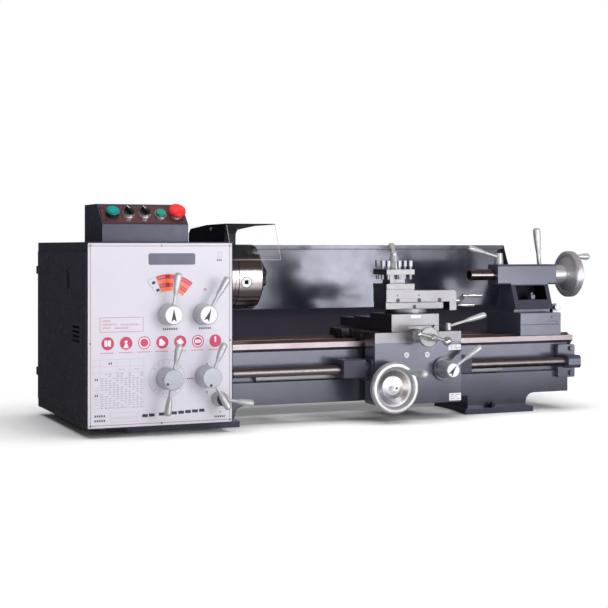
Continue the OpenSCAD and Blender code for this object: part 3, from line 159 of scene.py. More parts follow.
def enamel(name, color, rough=0.35, shade=0.12, peel=0.15, coat=0.0, gloss=0.5, radius=PAINT_EDGE):
    """Sprayed paint: a slight change of shade, and orange peel."""
    material, tree, shader = new_material(name)
    vector = object_coords(tree)
    low = tuple(c * (1 - shade) for c in color)
    high = tuple(min(1, c * (1 + shade)) for c in color)
    fill(tree, shader, {
        "Base Color": mix(tree, ramp(tree, noise(tree, vector, PATCH_SCALE), 0, 1), low, high),
        "Roughness": uneven(tree, noise(tree, vector, GLOSS_SCALE), rough),
        "Specular IOR Level": gloss,
        "Specular Tint": COOL_GLOSS,
        "IOR": 1.5,
        "Coat Weight": coat,
        "Coat Roughness": 0.1,
        "Normal": bump(tree, noise(tree, vector, PEEL_SCALE, 2), peel, FINE_RELIEF, radius),
    })
    return material


def ink(name, color, rough=0.5, shade=0.12):
    """Print on the panel: paint too thin to have rounded edges."""
    return enamel(name, color, rough=rough, shade=shade, radius=0)


def ground_metal(name, color, rough=0.25, tint=None, grain=(1, 40, 40), strength=0.12, metallic=1.0):
    """Ground or turned metal: a faint stain, and fine lines along the axes where grain is small."""
    material, tree, shader = new_material(name)
    lines = noise(tree, object_coords(tree, grain), GRIND_SCALE, 5, 0.6)
    cloud = noise(tree, object_coords(tree), STAIN_SCALE)
    stain = tint or tuple(c * 0.86 for c in color)
    fill(tree, shader, {
        "Base Color": mix(tree, ramp(tree, cloud, 0, 1, 0.35, 0.7), color, stain),
        "Roughness": uneven(tree, lines, rough, 0.75, 1.3),
        "Metallic": metallic,
        "Normal": bump(tree, lines, strength, FINE_RELIEF, METAL_EDGE),
    })
    return material


def plastic(name, color, rough=0.3, coat=0.0):
    """Moulded plastic or rubber: fine pores and a slight change of shade."""
    material, tree, shader = new_material(name)
    vector = object_coords(tree)
    low = tuple(c * 0.92 for c in color)
    fill(tree, shader, {
        "Base Color": mix(tree, ramp(tree, noise(tree, vector, MOULD_SCALE), 0, 1), low, color),
        "Roughness": uneven(tree, noise(tree, vector, SHEEN_SCALE), rough),
        "Coat Weight": coat,
        "Normal": bump(tree, noise(tree, vector, PORE_SCALE, 2), 0.08, 0.0001, PLASTIC_EDGE),
    })
    return material


def threaded_metal(name, color, pitch):
    """A screw thread of the stated pitch along X, as relief and as darker roots, which are painted shade."""
    material, tree, shader = new_material(name)
    coords = tree.nodes.new("ShaderNodeTexCoord").outputs["Object"]
    turns = math_node(tree, "MULTIPLY", split_xyz(tree, coords)["X"], 2 * math.pi / pitch)
    wave = math_node(tree, "SINE", turns)
    # Painted shade: the thread's roots are darkened.
    root = tuple(c * 0.6 for c in color)
    fill(tree, shader, {
        "Base Color": mix(tree, ramp(tree, wave, 0, 1, -1, 0.4), root, color),
        "Metallic": 1.0,
        "Roughness": ramp(tree, noise(tree, coords, 80), 0.36, 0.44),
        "Normal": bump(tree, wave, 0.1, 0.0004),
    })
    return material


def clear_sheet(name, color):
    """Clear plastic: see-through, with a slight sheen and slightly cloudy patches."""
    material, tree, shader = new_material(name)
    haze = noise(tree, object_coords(tree), 25)
    fill(tree, shader, {"Base Color": color, "Roughness": ramp(tree, haze, 0.05, 0.15)})
    through = tree.nodes.new("ShaderNodeBsdfTransparent")
    feed(tree, through.inputs["Color"], (0.995, 0.995, 0.995))
    sheet = mix_shaders(tree, ramp(tree, haze, 0.004, 0.012), through.outputs[0], shader.outputs[0])
    feed(tree, tree.nodes["Material Output"].inputs["Surface"], sheet)
    return material


CASTING = enamel("casting", (0.044, 0.044, 0.064), rough=0.2, peel=0.12, shade=0.12, gloss=1.0)
SHEET = enamel("cabinet_sheet", (0.040, 0.038, 0.056), rough=0.3, shade=0.05, peel=0.04, gloss=0.25)
HOOD = enamel("hood_sheet", (0.006, 0.006, 0.009), rough=0.5, gloss=0.15)
SPLASH = enamel("splash_sheet", (0.016, 0.016, 0.026), rough=0.16, peel=0.05, gloss=1.0)
PANEL = enamel("panel_white", (0.60, 0.58, 0.635), rough=0.45, shade=0.015, peel=0.06)
MAROON = enamel("plate_maroon", (0.085, 0.032, 0.034), rough=0.16, peel=0.05, coat=0.5)
BOX_FACE = enamel("box_sheet", (0.035, 0.035, 0.055), rough=0.3)
GREY = enamel("grey_machine", (0.16, 0.18, 0.20), rough=0.45)
WAYS = ground_metal("ways_ground", (0.36, 0.31, 0.32), rough=0.4, tint=(0.30, 0.24, 0.255))
IRON = ground_metal("iron_ground", (0.24, 0.235, 0.255), rough=0.4, tint=(0.205, 0.197, 0.212))
STEEL = ground_metal("steel_ground", (0.20, 0.197, 0.205), rough=0.34)
TURNED = ground_metal("steel_turned", (0.34, 0.30, 0.305), rough=0.16, tint=(0.28, 0.235, 0.235),
                      grain=ROUND_X)
CHROME = ground_metal("chrome_polished", (0.66, 0.66, 0.67), rough=0.18, strength=0.03, metallic=0.85)
BRUSHED = ground_metal("chrome_brushed", (0.30, 0.31, 0.34), rough=0.42, tint=(0.26, 0.27, 0.30))
SATIN = ground_metal("chrome_satin", (0.52, 0.53, 0.55), rough=0.4, tint=(0.46, 0.47, 0.49),
                     strength=0.05, metallic=0.55)
WHEEL = ground_metal("wheel_turned", (0.72, 0.715, 0.74), rough=0.38, tint=(0.62, 0.61, 0.64),
                     strength=0.05, metallic=0.8)
DISH = ground_metal("wheel_dish", (0.50, 0.47, 0.46), rough=0.26, tint=(0.40, 0.41, 0.47),
                    strength=0.05, metallic=0.9)
DIAL = ground_metal("dial_satin", (0.34, 0.34, 0.35), rough=0.45, tint=(0.28, 0.28, 0.29),
                    strength=0.05, metallic=0.6)
GEAR = ground_metal("gear_steel", (0.45, 0.45, 0.46), rough=0.3)
ALLOY = ground_metal("alloy_turned", (0.7, 0.7, 0.71), rough=0.3, grain=ROUND_X)
THREAD = threaded_metal("leadscrew_thread", (0.34, 0.30, 0.305), THREAD_PITCH)
BLACKED = ground_metal("steel_blacked", (0.05, 0.05, 0.055), rough=0.35)
BLACK = plastic("plastic_black", (0.012, 0.012, 0.013), rough=0.35)
RUBBER = plastic("belt_rubber", (0.015, 0.015, 0.015), rough=0.7)
RED = plastic("plastic_red", (0.80, 0.015, 0.02), rough=0.3, coat=0.3)
GREEN = plastic("plastic_green", (0.0, 0.23, 0.16), rough=0.3, coat=0.2)
LAMP = plastic("lamp_green", (0.0, 0.25, 0.22), rough=0.12, coat=0.6)
CLEAR = clear_sheet("clear_sheet", (0.96, 0.97, 0.97))
EDGE = plastic("clear_edge", (0.52, 0.44, 0.45), rough=0.3)
INK = ink("print_black", (0.030, 0.029, 0.035))
INK_GREY = ink("print_grey", (0.36, 0.35, 0.38))
INK_PALE_GREY = ink("print_pale_grey", (0.42, 0.40, 0.44))
INK_SLATE = ink("print_slate", (0.105, 0.105, 0.145), rough=0.45)
INK_MAROON = ink("print_maroon", (0.30, 0.19, 0.20))
INK_RED = ink("print_red", (0.52, 0.045, 0.115))
INK_PALE_RED = ink("print_pale_red", (0.52, 0.27, 0.34))
INK_ROSE = ink("print_rose", (0.60, 0.055, 0.085))
INK_PEACH = ink("print_peach", (0.80, 0.21, 0.10))
INK_ORANGE = ink("print_orange", (0.85, 0.17, 0.02))
INK_CRIMSON = ink("print_crimson", (0.42, 0.005, 0.02))
INK_WHITE = ink("print_white", (0.74, 0.71, 0.75), rough=0.45)
LABEL = ink("label_blank", (0.70, 0.69, 0.72), rough=0.35, shade=0.03)

BY_NODE = {
    "bed": CASTING, "rack": STEEL, "leadscrew_bracket": CASTING, "levelling_screws": BLACKED,
    "splash_guard": SPLASH, "cabinet": SHEET, "front_panel": PANEL, "headstock": GREY,
    "feed_gearbox": GREY, "gear_bracket": GREY, "motor": GREY, "drive_belt": RUBBER,
    "control_box": BOX_FACE, "control_plate": MAROON, "pilot_lamp": LAMP, "guard_bracket": STEEL,
    "spindle": TURNED, "drive_pulley": ALLOY, "chuck_body": TURNED, "chuck_pinions": STEEL,
    "jaw_1": STEEL, "jaw_2": STEEL, "jaw_3": STEEL, "motor_pulley": ALLOY, "idler_gear": GEAR,
    "leadscrew": STEEL, "chuck_guard": HOOD, "guard_shield": CLEAR, "end_door": SHEET,
    "lever_a": SATIN, "lever_b": SATIN, "lever_c": SATIN, "lever_d": SATIN, "lever_e": SATIN,
    "selector_left": BLACK, "selector_right": BLACK, "start_button": GREEN, "stop_button": RED,
    "saddle": IRON, "apron": CASTING, "screw_covers": SHEET, "carriage_wheel": WHEEL,
    "carriage_handle": SATIN, "half_nut_lever": SATIN, "carriage_lock": SATIN,
    "cross_slide": IRON, "cross_crank": CHROME, "swivel_base": IRON, "top_slide": IRON,
    "top_crank": CHROME, "tool_post": STEEL, "tool_screws": BRUSHED, "tool_post_lever": SATIN,
    "tailstock_base": CASTING, "tailstock_body": CASTING, "quill": TURNED, "tail_wheel": WHEEL,
    "tail_handle": SATIN, "quill_lock": SATIN, "clamp_lever": SATIN,
}


# ------------------------------------------------------------------ materials of the CAD nodes
WAY_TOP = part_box("headstock")[0].z   # the headstock stands on the ways
WAY_DEPTH = 0.0135
THREAD_X = (-0.26, 0.6)
COLLAR_X = (-0.331, -0.315)
SCREW_BOSS_FRONT = -0.167
SCREW_BOSS_Z = (0.178, 0.238)
CROSS_SCREW_AT = (0.162, 0.208)      # axes that run front to back: X and Z
CRANK_DIAL_R = 0.0255
HALF_NUT_AT = (0.233, 0.124)
HALF_NUT_HUB_R = 0.024
CARRIAGE_WHEEL_AT = (0.076, 0.086)
DISH_R = (0.017, 0.043)
WINDOW_X = (0.517, 0.628)
WINDOW_Z = (0.2855, 0.325)
SET_OVER_LEFT = 0.6372
SET_OVER_Y = (-0.0505, -0.029)
SET_OVER_Z = (0.235, 0.29)
SWIVEL_FLANGE_TOP = 0.2635
CHUCK_AT = Vector((-259, 0, 353.5))  # on the spindle's axis, level with the key sockets, in mm
CHUCK_R = 80
SOCKET_TURNS = (188, 308, 428)
SOCKET_DEPTH = (0.05, 0.0786)        # distances from the spindle's axis
SOCKET_R = 0.0075


def between(value, limits):
    return limits[0] < value < limits[1]


def from_axis(centre, axis):
    """How far a point lies from an axis that runs front to back, in metres."""
    return Vector((centre.x - axis[0], centre.z - axis[1])).length


def in_window(centre, normal):
    """The opening through the tailstock's tower, without the tower's own front face. Its faces get the
    near-black hood paint as painted shade.
    """
    inside = between(centre.x, WINDOW_X) and between(centre.z, WINDOW_Z)
    return inside and (centre.y > 0 or abs(normal.y) < 0.5)


def on_set_over(centre, normal):
    """The set-over screw's disc at the tailstock's right end."""
    return centre.x > SET_OVER_LEFT and between(centre.y, SET_OVER_Y) and between(centre.z, SET_OVER_Z)


def socket_directions():
    """Outward and sideways at each of the three chuck-key sockets."""
    for degrees in SOCKET_TURNS:
        turn = math.radians(degrees)
        yield Vector((0, math.cos(turn), math.sin(turn))), Vector((0, -math.sin(turn), math.cos(turn)))


def in_key_socket(centre, normal):
    """True inside the square socket of one of the chuck pinions."""
    place = Vector(centre) - CHUCK_AT * MM
    for out, side in socket_directions():
        depth = place.dot(out)
        if between(depth, SOCKET_DEPTH) and (place - out * depth).length < SOCKET_R:
            return True
    return False


def dress(node, material, test=None):
    """Gives a CAD node a material; with a test, only on the faces whose centre and normal pass it."""
    obj = NODES[node]
    if test is None:
        obj.data.materials.clear()
        obj.data.materials.append(material)
        for face in obj.data.polygons:
            face.material_index = 0
        return
    obj.data.materials.append(material)
    index = len(obj.data.materials) - 1
    for face in obj.data.polygons:
        if test(face.center, face.normal):
            face.material_index = index


for node_name, finish in BY_NODE.items():
    dress(node_name, finish)
dress("bed", WAYS, lambda c, n: c.z > WAY_TOP - WAY_DEPTH)
dress("leadscrew", THREAD, lambda c, n: abs(n.x) < 0.5 and between(c.x, THREAD_X))
dress("leadscrew", BLACKED, lambda c, n: between(c.x, COLLAR_X))
dress("saddle", SATIN, lambda c, n: c.y < SCREW_BOSS_FRONT and between(c.z, SCREW_BOSS_Z))
dress("cross_crank", DIAL, lambda c, n: n.y < -0.8 and from_axis(c, CROSS_SCREW_AT) < CRANK_DIAL_R)
# Near-black paint inside the tailstock's window: painted shade in the opening.
dress("tailstock_body", HOOD, in_window)
dress("tailstock_base", SATIN, on_set_over)
dress("tailstock_body", SATIN, on_set_over)
dress("swivel_base", SATIN, lambda c, n: c.z < SWIVEL_FLANGE_TOP)
dress("half_nut_lever", WHEEL, lambda c, n: from_axis(c, HALF_NUT_AT) < HALF_NUT_HUB_R)
dress("carriage_wheel", DISH, lambda c, n: between(from_axis(c, CARRIAGE_WHEEL_AT), DISH_R))
dress("chuck_pinions", WHEEL)
# Black inside the pinions' key sockets: painted shade in the recesses.
dress("chuck_pinions", BLACK, in_key_socket)


# ------------------------------------------------------------------ making of added pieces
def put(name, builder, material, body, smooth=True):
    """One added piece, built from a bmesh whose sizes are in millimetres."""
    bm = bmesh.new()
    builder(bm)
    bmesh.ops.scale(bm, vec=(MM, MM, MM), verts=bm.verts)
    bmesh.ops.recalc_face_normals(bm, faces=bm.faces)
    mesh = bpy.data.meshes.new(name)
    bm.to_mesh(mesh)
    bm.free()
    obj = bpy.data.objects.new(name, mesh)
    SCENE.collection.objects.link(obj)
    mesh.materials.append(material)
    if smooth:
        for face in mesh.polygons:
            face.use_smooth = len(face.vertices) == 4
    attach(obj, body)


def put_flat(name, builder, material, body):
    """A piece without smooth shading, such as print."""
    put(name, builder, material, body, smooth=False)


def add_box(bm, low, high):
    centre = [(a + b) / 2 for a, b in zip(low, high)]
    size = [b - a for a, b in zip(low, high)]
    place = Matrix.Translation(centre) @ Matrix.Diagonal((*size, 1))
    bmesh.ops.create_cube(bm, size=1, matrix=place)


def add_rod(bm, start, end, r0, r1=None, sides=32):
    """A cylinder or cone between two points."""
    start, end = Vector(start), Vector(end)
    along = end - start
    place = Matrix.Translation((start + end) / 2) @ along.to_track_quat("Z", "Y").to_matrix().to_4x4()
    bmesh.ops.create_cone(bm, cap_ends=True, segments=sides, radius1=r0, radius2=r0 if r1 is None else r1,
                          depth=along.length, matrix=place)


# A print is made of flat outlines in x and z. The last argument, place, turns x and z into a point.
PRINT_LIFT = 0.15      # how far print stands off its surface, in millimetres


def at_y(y):
    """A place function for the upright plane at y, in millimetres."""
    return lambda x, z: (x, y, z)


def add_prism(bm, points, place):
    bm.faces.new([bm.verts.new(place(x, z)) for x, z in points])


def add_ring(bm, centre, r_in, r_out, place, start=0.0, end=360.0, steps=None):
    """A flat ring or sector. Angles run clockwise from straight up."""
    steps = steps or max(3, int(abs(end - start) / 9))
    corners = []
    for i in range(steps + 1):
        a = math.radians(start + (end - start) * i / steps)
        for r in (r_in, r_out):
            corners.append(bm.verts.new(place(centre[0] + r * math.sin(a), centre[1] + r * math.cos(a))))
    for i in range(steps):
        bm.faces.new((corners[2 * i], corners[2 * i + 1], corners[2 * i + 3], corners[2 * i + 2]))


def add_bar(bm, x0, x1, z0, z1, place):
    add_prism(bm, [(x0, z0), (x1, z0), (x1, z1), (x0, z1)], place)


def add_frame(bm, x0, x1, z0, z1, width, place):
    """The outline of a rectangle, drawn inside its limits."""
    add_bar(bm, x0, x1, z0, z0 + width, place)
    add_bar(bm, x0, x1, z1 - width, z1, place)
    add_bar(bm, x0, x0 + width, z0 + width, z1 - width, place)
    add_bar(bm, x1 - width, x1, z0 + width, z1 - width, place)


def add_round_bar(bm, x0, x1, z0, z1, r, place):
    """A rectangle with round corners."""
    points = []
    corners = ((x1 - r, z1 - r, 0), (x0 + r, z1 - r, 90), (x0 + r, z0 + r, 180), (x1 - r, z0 + r, 270))
    for cx, cz, start in corners:
        for k in range(7):
            a = math.radians(start + 15 * k)
            points.append((cx + r * math.cos(a), cz + r * math.sin(a)))
    add_prism(bm, points, place)


def add_ticks(bm, x0, x1, z, height, pitch, place):
    """A row of short upright dashes, where a line of small print would stand."""
    count = max(1, int((x1 - x0) / pitch))
    for k in range(count):
        x = x0 + pitch * k
        add_bar(bm, x, x + pitch * 0.62, z - height / 2, z + height / 2, place)


def mm_box(node):
    low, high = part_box(node)
    return [v * 1000 for v in low], [v * 1000 for v in high]


# ------------------------------------------------------------------ panel print
PANEL_LOW, PANEL_HIGH = mm_box("front_panel")
PRINT_Y = PANEL_LOW[1] - PRINT_LIFT
UPPER_PRINT_Y = PRINT_Y - 0.1
on_panel = at_y(PRINT_Y)
over_print = at_y(UPPER_PRINT_Y)
KNOB_A = (-489.0, 274.0)
KNOB_B = (-406.0, 273.0)
KNOB_C = (-493.0, 129.0)
KNOB_D = (-400.5, 130.5)
KNOB_E = (-368.0, 78.0)
FRAME_X = (PANEL_LOW[0] + 5.0, PANEL_HIGH[0] - 5.0)
FRAME_Z = (PANEL_LOW[2] + 5.0, PANEL_HIGH[2] - 5.5)
SCREW_MID_Z = 211.5
SCREW_HEIGHT = 1.4


def panel_screws(bm):
    """Three screws along the foot and along the top, and one halfway up each side."""
    mid = (FRAME_X[0] + FRAME_X[1]) / 2
    for z in (FRAME_Z[0], SCREW_MID_Z, FRAME_Z[1]):
        for x in (FRAME_X[0], mid, FRAME_X[1]):
            if (x, z) != (mid, SCREW_MID_Z):
                foot = Vector((x + 0.6, PANEL_LOW[1], z))
                add_rod(bm, foot, foot + Vector(FORWARD) * SCREW_HEIGHT, 2.5, 1.8, 16)


DISC_X = [-631.0 + 42.4 * i for i in range(7)]
DISC_Z = 211.2
DISC_R = 14.6


def panel_discs(bm):
    """Red discs with a row of dashes under each, a bare frame and two small marks."""
    for i, x in enumerate(DISC_X):
        add_ring(bm, (x, DISC_Z), 0.2, DISC_R, on_panel, steps=40)
        add_ticks(bm, x - 16, x + 16, 190 + 0.2 * i, 2.0, 3.4, on_panel)
    add_frame(bm, -649.2, -548.4, 236.6, 269.6, 0.9, on_panel)
    add_ticks(bm, -404, -397, 330, 5, 3.5, on_panel)
    add_bar(bm, -373, -369, 320, 326, on_panel)


# Plain white shapes on the discs. Each starts with its disc's number, and is measured from its centre.
ROUND_BARS = ((0, -7.5, -0.6, -6.5, 7.5, 2), (0, 0.6, 7.5, -6.5, 7.5, 2),
              (5, -7, 7, -4, 4, 2.4), (6, -2, 2, -3, 10.5, 1.6))
OUTLINES = (
    (1, (-6.5, -11), (6.5, -11), (2.4, -1), (-2.4, -1)),
    (3, (-8, -7), (2, -8.5), (8, -2), (-2, 8), (-7, 7)),
    (4, (-9, 1), (-2, -9), (9, -2), (1, 9)),
)
RINGS = ((1, 3, 0.1, 3.6, 20), (2, 0, 9.4, 12.4, 32), (5, 0, 9.6, 12.2, 32))


def disc_shapes(bm):
    for disc, x0, x1, z0, z1, r in ROUND_BARS:
        add_round_bar(bm, DISC_X[disc] + x0, DISC_X[disc] + x1, DISC_Z + z0, DISC_Z + z1, r, over_print)
    for disc, *points in OUTLINES:
        add_prism(bm, [(DISC_X[disc] + x, DISC_Z + z) for x, z in points], over_print)
    for disc, lift, r_in, r_out, steps in RINGS:
        add_ring(bm, (DISC_X[disc], DISC_Z + lift), r_in, r_out, over_print, steps=steps)


# Rows of dashes: from x, to x, at z, and their height where it differs.
PALE_RED_ROWS = ((-642, -624, 262), (-642, -609, 254), (-601, -555, 253), (-642, -624, 246.3),
                 (-614.6, -580, 245.5))
BLACK_ROWS = (
    (-502.1, -466.6, 240.8, 4.6), (-416.4, -381.9, 240.9, 4.4), (-628.8, -616.4, 166.8, 4.6),
    (-660.5, -651.5, 131.2, 4.4), (-660.5, -651.5, 95.4, 4.6), (-372.9, -359.5, 397.2, 3.6),
    (-445.2, -427.2, 126.4, 2.6), (-456, -451, 127, 2.2), (-378.5, -350.3, 36.5, 4.2),
)


def pale_red_print(bm):
    for x0, x1, z in PALE_RED_ROWS:
        add_ticks(bm, x0, x1, z, 3.4, 3.6, on_panel)
    add_ring(bm, (-365, 47), 0.1, 2.4, on_panel, steps=12)


# The coloured scale over knob A: fields from angle to angle, each of one of two colour pairs.
SCALE_FIELDS = ((-18.5, -5.0, 0), (-5.0, 2.0, 1), (2.0, 9.0, 0), (14.0, 39.0, 0))
DEEP_BANDS = ((81.5, 91.5), (62.5, 72))
LIGHT_BANDS = ((72, 81.5), (53.5, 62.5))
MARK_ANGLES = (-15, -11.5, -8, 17, 20.5, 24, 27.5, 31, 34.5)


def scale_rows(bm, bands, pair):
    for start, end, field_pair in SCALE_FIELDS:
        if field_pair == pair:
            for r_in, r_out in bands:
                add_ring(bm, KNOB_A, r_in, r_out, on_panel, start, end, 6)


def scale_marks(bm):
    """Paler dashes along the coloured bands."""
    for radius in (86.5, 67.5):
        for a in MARK_ANGLES:
            add_ring(bm, KNOB_A, radius - 1.6, radius + 1.6, over_print, a, a + 1.9, 2)


def scale_white_end(bm):
    """The outline of the scale's white end, with a black block in each of its two rows."""
    for a, r in ((-26, 80.5), (-24.5, 61)):
        s, c = math.sin(math.radians(a)), math.cos(math.radians(a))
        mid = (KNOB_A[0] + r * s, KNOB_A[1] + r * c)
        block = ((-4, -3.2), (4, -3.2), (4, 3.2), (-4, 3.2))
        add_prism(bm, [(mid[0] + u * c + v * s, mid[1] - u * s + v * c) for u, v in block], on_panel)
    for a in (-33.3, -19.4):
        add_ring(bm, KNOB_A, 53.5, 91.5, on_panel, a, a + 0.45, 1)
    for r, a0, a1 in ((53.5, -33, -19.2), (72, -33, -29), (91.2, -33, -19.2)):
        add_ring(bm, KNOB_A, r, r + 0.5, on_panel, a0, a1, 4)


FOOT_BARS = ((-551.2, -538), (-535.5, -522), (-512, -498), (-482, -469), (-466, -452.5), (-449.5, -436),
             (-433, -419), (-416, -403))
FOOT_BAR_RISE = 0.044


def black_print(bm):
    scale_white_end(bm)
    for x0, x1, z, height in BLACK_ROWS:
        add_ticks(bm, x0, x1, z, height, 4.4, on_panel)
    for x0, x1 in FOOT_BARS:
        rise = FOOT_BAR_RISE * (x0 + 551)
        add_bar(bm, x0, x1, 43 + rise, 50 + rise, on_panel)
    for z in (49.8, 39.3):
        add_ticks(bm, -661.2, -633, z, 4.6, 5.2, on_panel)


TABLE_X = (-664.6, -547.0)
TABLE_Z = (66.0, 175.5)
KNOB_MARK_ANGLES = (-52, -33, -12, 8, 41, 52, 130, 148, 172, 195, 212, 228)


def grey_print(bm):
    """The threading table as a plain grid, and the ring of marks round knob C."""
    for low_z, high_z in ((45.1, 56.0), (34.8, 43.0)):
        add_frame(bm, -624.9, -561.6, low_z, high_z, 0.6, on_panel)
    add_frame(bm, *TABLE_X, *TABLE_Z, 0.5, on_panel)
    for z in (146.0, 160.0):
        add_bar(bm, *TABLE_X, z, z + 0.4, on_panel)
    for x in (-648.6, -610.0, -580.0):
        add_bar(bm, x, x + 0.4, *TABLE_Z, on_panel)
    add_ring(bm, KNOB_C, 42.4, 43.2, on_panel)
    for a in KNOB_MARK_ANGLES:
        add_ring(bm, KNOB_C, 34, 39.5, on_panel, a - 1.6, a + 1.6, 3)
    for a in range(0, 360, 12):
        add_ring(bm, KNOB_C, 40.6, 42.4, on_panel, a - 0.4, a + 0.4, 1)
    for x, z in ((-397.2, 158.5), (-397.2, 93.3)):
        add_bar(bm, x - 2.5, x + 2.5, z - 3, z + 3, on_panel)
    add_frame(bm, -370.5, -361.5, 403.5, 416, 0.8, on_panel)


def table_print(bm):
    """Short bars of mixed length in the table's cells. Some cells stay bare."""
    for row in range(16):
        z = 143.0 - 5.0 * row
        for column in range(11):
            if (3 * row + 5 * column) % 8 and (row > 1 or column % 3):
                x = -646.5 + 9.1 * column
                add_bar(bm, x, x + 4.2 + (row + column) % 3, z - 1.3, z + 1.3, on_panel)
    for z in (112, 106, 100, 86, 80, 74):
        add_bar(bm, -660.5, -652.5, z, z + 1.6, on_panel)
    for x in (-605, -598, -570, -563):
        add_bar(bm, x, x + 4.5, 152, 154.4, on_panel)


put_flat("panel_frame_line", lambda bm: add_frame(bm, *FRAME_X, *FRAME_Z, 1.3, on_panel), INK_MAROON, "frame")
put("panel_screws", panel_screws, IRON, "frame")
put_flat("panel_badge_blank", lambda bm: add_round_bar(bm, -536.5, -425.3, 387.0, 413.2, 4, on_panel),
         INK_SLATE, "frame")
put_flat("panel_discs", panel_discs, INK_RED, "frame")
put_flat("panel_disc_shapes", disc_shapes, INK_WHITE, "frame")
put_flat("panel_print_pale_red", pale_red_print, INK_PALE_RED, "frame")
put_flat("panel_scale_rose", lambda bm: scale_rows(bm, DEEP_BANDS, 0), INK_ROSE, "frame")
put_flat("panel_scale_peach", lambda bm: scale_rows(bm, LIGHT_BANDS, 0), INK_PEACH, "frame")
put_flat("panel_scale_crimson", lambda bm: scale_rows(bm, DEEP_BANDS, 1), INK_CRIMSON, "frame")
put_flat("panel_scale_orange", lambda bm: scale_rows(bm, LIGHT_BANDS, 1), INK_ORANGE, "frame")
put_flat("panel_scale_marks", scale_marks, INK_PALE_RED, "frame")
put_flat("panel_print_black", black_print, INK, "frame")
put_flat("panel_print_grey", grey_print, INK_GREY, "frame")
put_flat("panel_table", table_print, INK_PALE_GREY, "frame")


# ------------------------------------------------------------------ screws, plates and marks
def add_layers(name, places, outward, layers, body):
    """Stacked discs on a face, each (material, radius, how far its top stands out, sides)."""
    out = Vector(outward).normalized()
    for index, (material, radius, top, sides) in enumerate(layers):
        def build(bm, radius=radius, top=top, sides=sides):
            for place in places:
                add_rod(bm, Vector(place), Vector(place) + out * top, radius, sides=sides)
        put(f"{name}_{index}", build, material, body)


def let_in_screws(name, places, outward, radius, body):
    """Cap screws sunk into a face: a dark counterbore, the bright head, the dark socket. The black
    counterbore and socket are painted shade in the recesses.
    """
    # The two black layers are painted shade in the counterbore and in the socket.
    layers = ((BLACK, radius, 0.15, 28), (BLACKED, radius * 0.68, 0.3, 24), (BLACK, radius * 0.4, 0.4, 6))
    add_layers(name, places, outward, layers, body)


def cap_screws(name, places, outward, radius, height, body, material=STEEL):
    """Cap screws that stand on a face, with a black hexagon as painted shade in each socket."""
    # The black hexagon is painted shade in the screw's socket.
    layers = ((material, radius, height, 28), (BLACK, radius * 0.5, height + 0.1, 6))
    add_layers(name, places, outward, layers, body)


def plate(name, low, high, material, body):
    put_flat(name, lambda bm: add_box(bm, low, high), material, body)


# The top slide, its swivel and the cross slide.
LINE_LIFT = 0.12
SLIDE_FRONT = mm_box("top_slide")[0][1]
CROSS_FRONT = mm_box("cross_slide")[0][1]
SLIDE_SCREWS = [(134, SLIDE_FRONT, 293.2), (194, SLIDE_FRONT, 293.4), (252, SLIDE_FRONT, 293.3)]
SLIDE_LEFT = 104.6
SLIDE_JOINT = (SLIDE_LEFT, 266, 287.3, 288.1)
SLIDE_BLOCK = (SLIDE_LEFT, 180, 325.0, 325.6)
on_slide = at_y(SLIDE_FRONT - LINE_LIFT)
on_cross_slide = at_y(CROSS_FRONT - LINE_LIFT)

let_in_screws("top_slide_screws", SLIDE_SCREWS, FORWARD, 5.4, "top_slide")
add_layers("top_slide_oilers", [(133, SLIDE_FRONT, 305.4), (193, SLIDE_FRONT, 306.2)], FORWARD,
           ((BLACK, 2.1, 0.15, 16),), "top_slide")
cap_screws("gib_screws", [(102, -97, 294.5), (102, -48, 294.5)], LEFTWARD, 2.6, 1.2, "top_slide")
let_in_screws("lower_slide_screw", [(182, -106.5, 277)], FORWARD, 5.0, "swivel")
plate("cross_slide_label", (147.7, CROSS_FRONT - 0.6, 250.6), (177.2, CROSS_FRONT, 258.2), LABEL,
      "cross_slide")


def dovetail_line(bm):
    """The joint between the cross slide and the saddle's dovetail."""
    add_bar(bm, 136.3, 241, 230.8, 231.6, on_cross_slide)
    add_prism(bm, [(136.3, 231.6), (137.3, 231.6), (147, 216.5), (146, 216.5)], on_cross_slide)


put_flat("slide_joint_line", lambda bm: add_bar(bm, *SLIDE_JOINT, on_slide), INK, "top_slide")
put_flat("slide_block_line", lambda bm: add_bar(bm, *SLIDE_BLOCK, on_slide), INK, "top_slide")
put_flat("dovetail_line", dovetail_line, INK, "cross_slide")

# The apron, and the wipers at the saddle's left end.
APRON_FRONT = -165.0
LABEL_FRONT = APRON_FRONT - 0.5
HALF_NUT_X, HALF_NUT_Z = 233.0, 124.0
FLANGE_FRONT = -171
on_apron = at_y(APRON_FRONT - PRINT_LIFT)
WIPER_X = (39.5, 43)
WIPER_Z = (200.4, 213.5)
WIPER_HALF = 26
WIPER_SCREW_REACH = 17
WIPER_SCREW_Z = 207
# The outline of a painted shadow: a flat black shape on the apron under the upper label.
APRON_SHADOW_OUTLINE = [(247.5, 148), (253, 141.5), (268, 156), (279, 161), (279, 167), (262, 166.5)]
LABEL_DASHES = (
    (250, 261, 179), (264, 270, 179), (251, 259, 174), (263, 279, 174), (252, 262, 57), (266, 279, 57),
    (253, 260, 52), (264, 270, 52), (252, 264, 47), (269, 279, 47),
)

plate("apron_label_upper", (247, LABEL_FRONT, 170), (282, APRON_FRONT, 183.4), LABEL, "carriage")
plate("apron_label_lower", (249, LABEL_FRONT, 43.8), (282.3, APRON_FRONT, 62), LABEL, "carriage")


def label_print(bm):
    """Short grey dashes on the apron's two blank labels."""
    for x0, x1, z in LABEL_DASHES:
        add_bar(bm, x0, x1, z, z + 2.2, at_y(LABEL_FRONT - PRINT_LIFT))


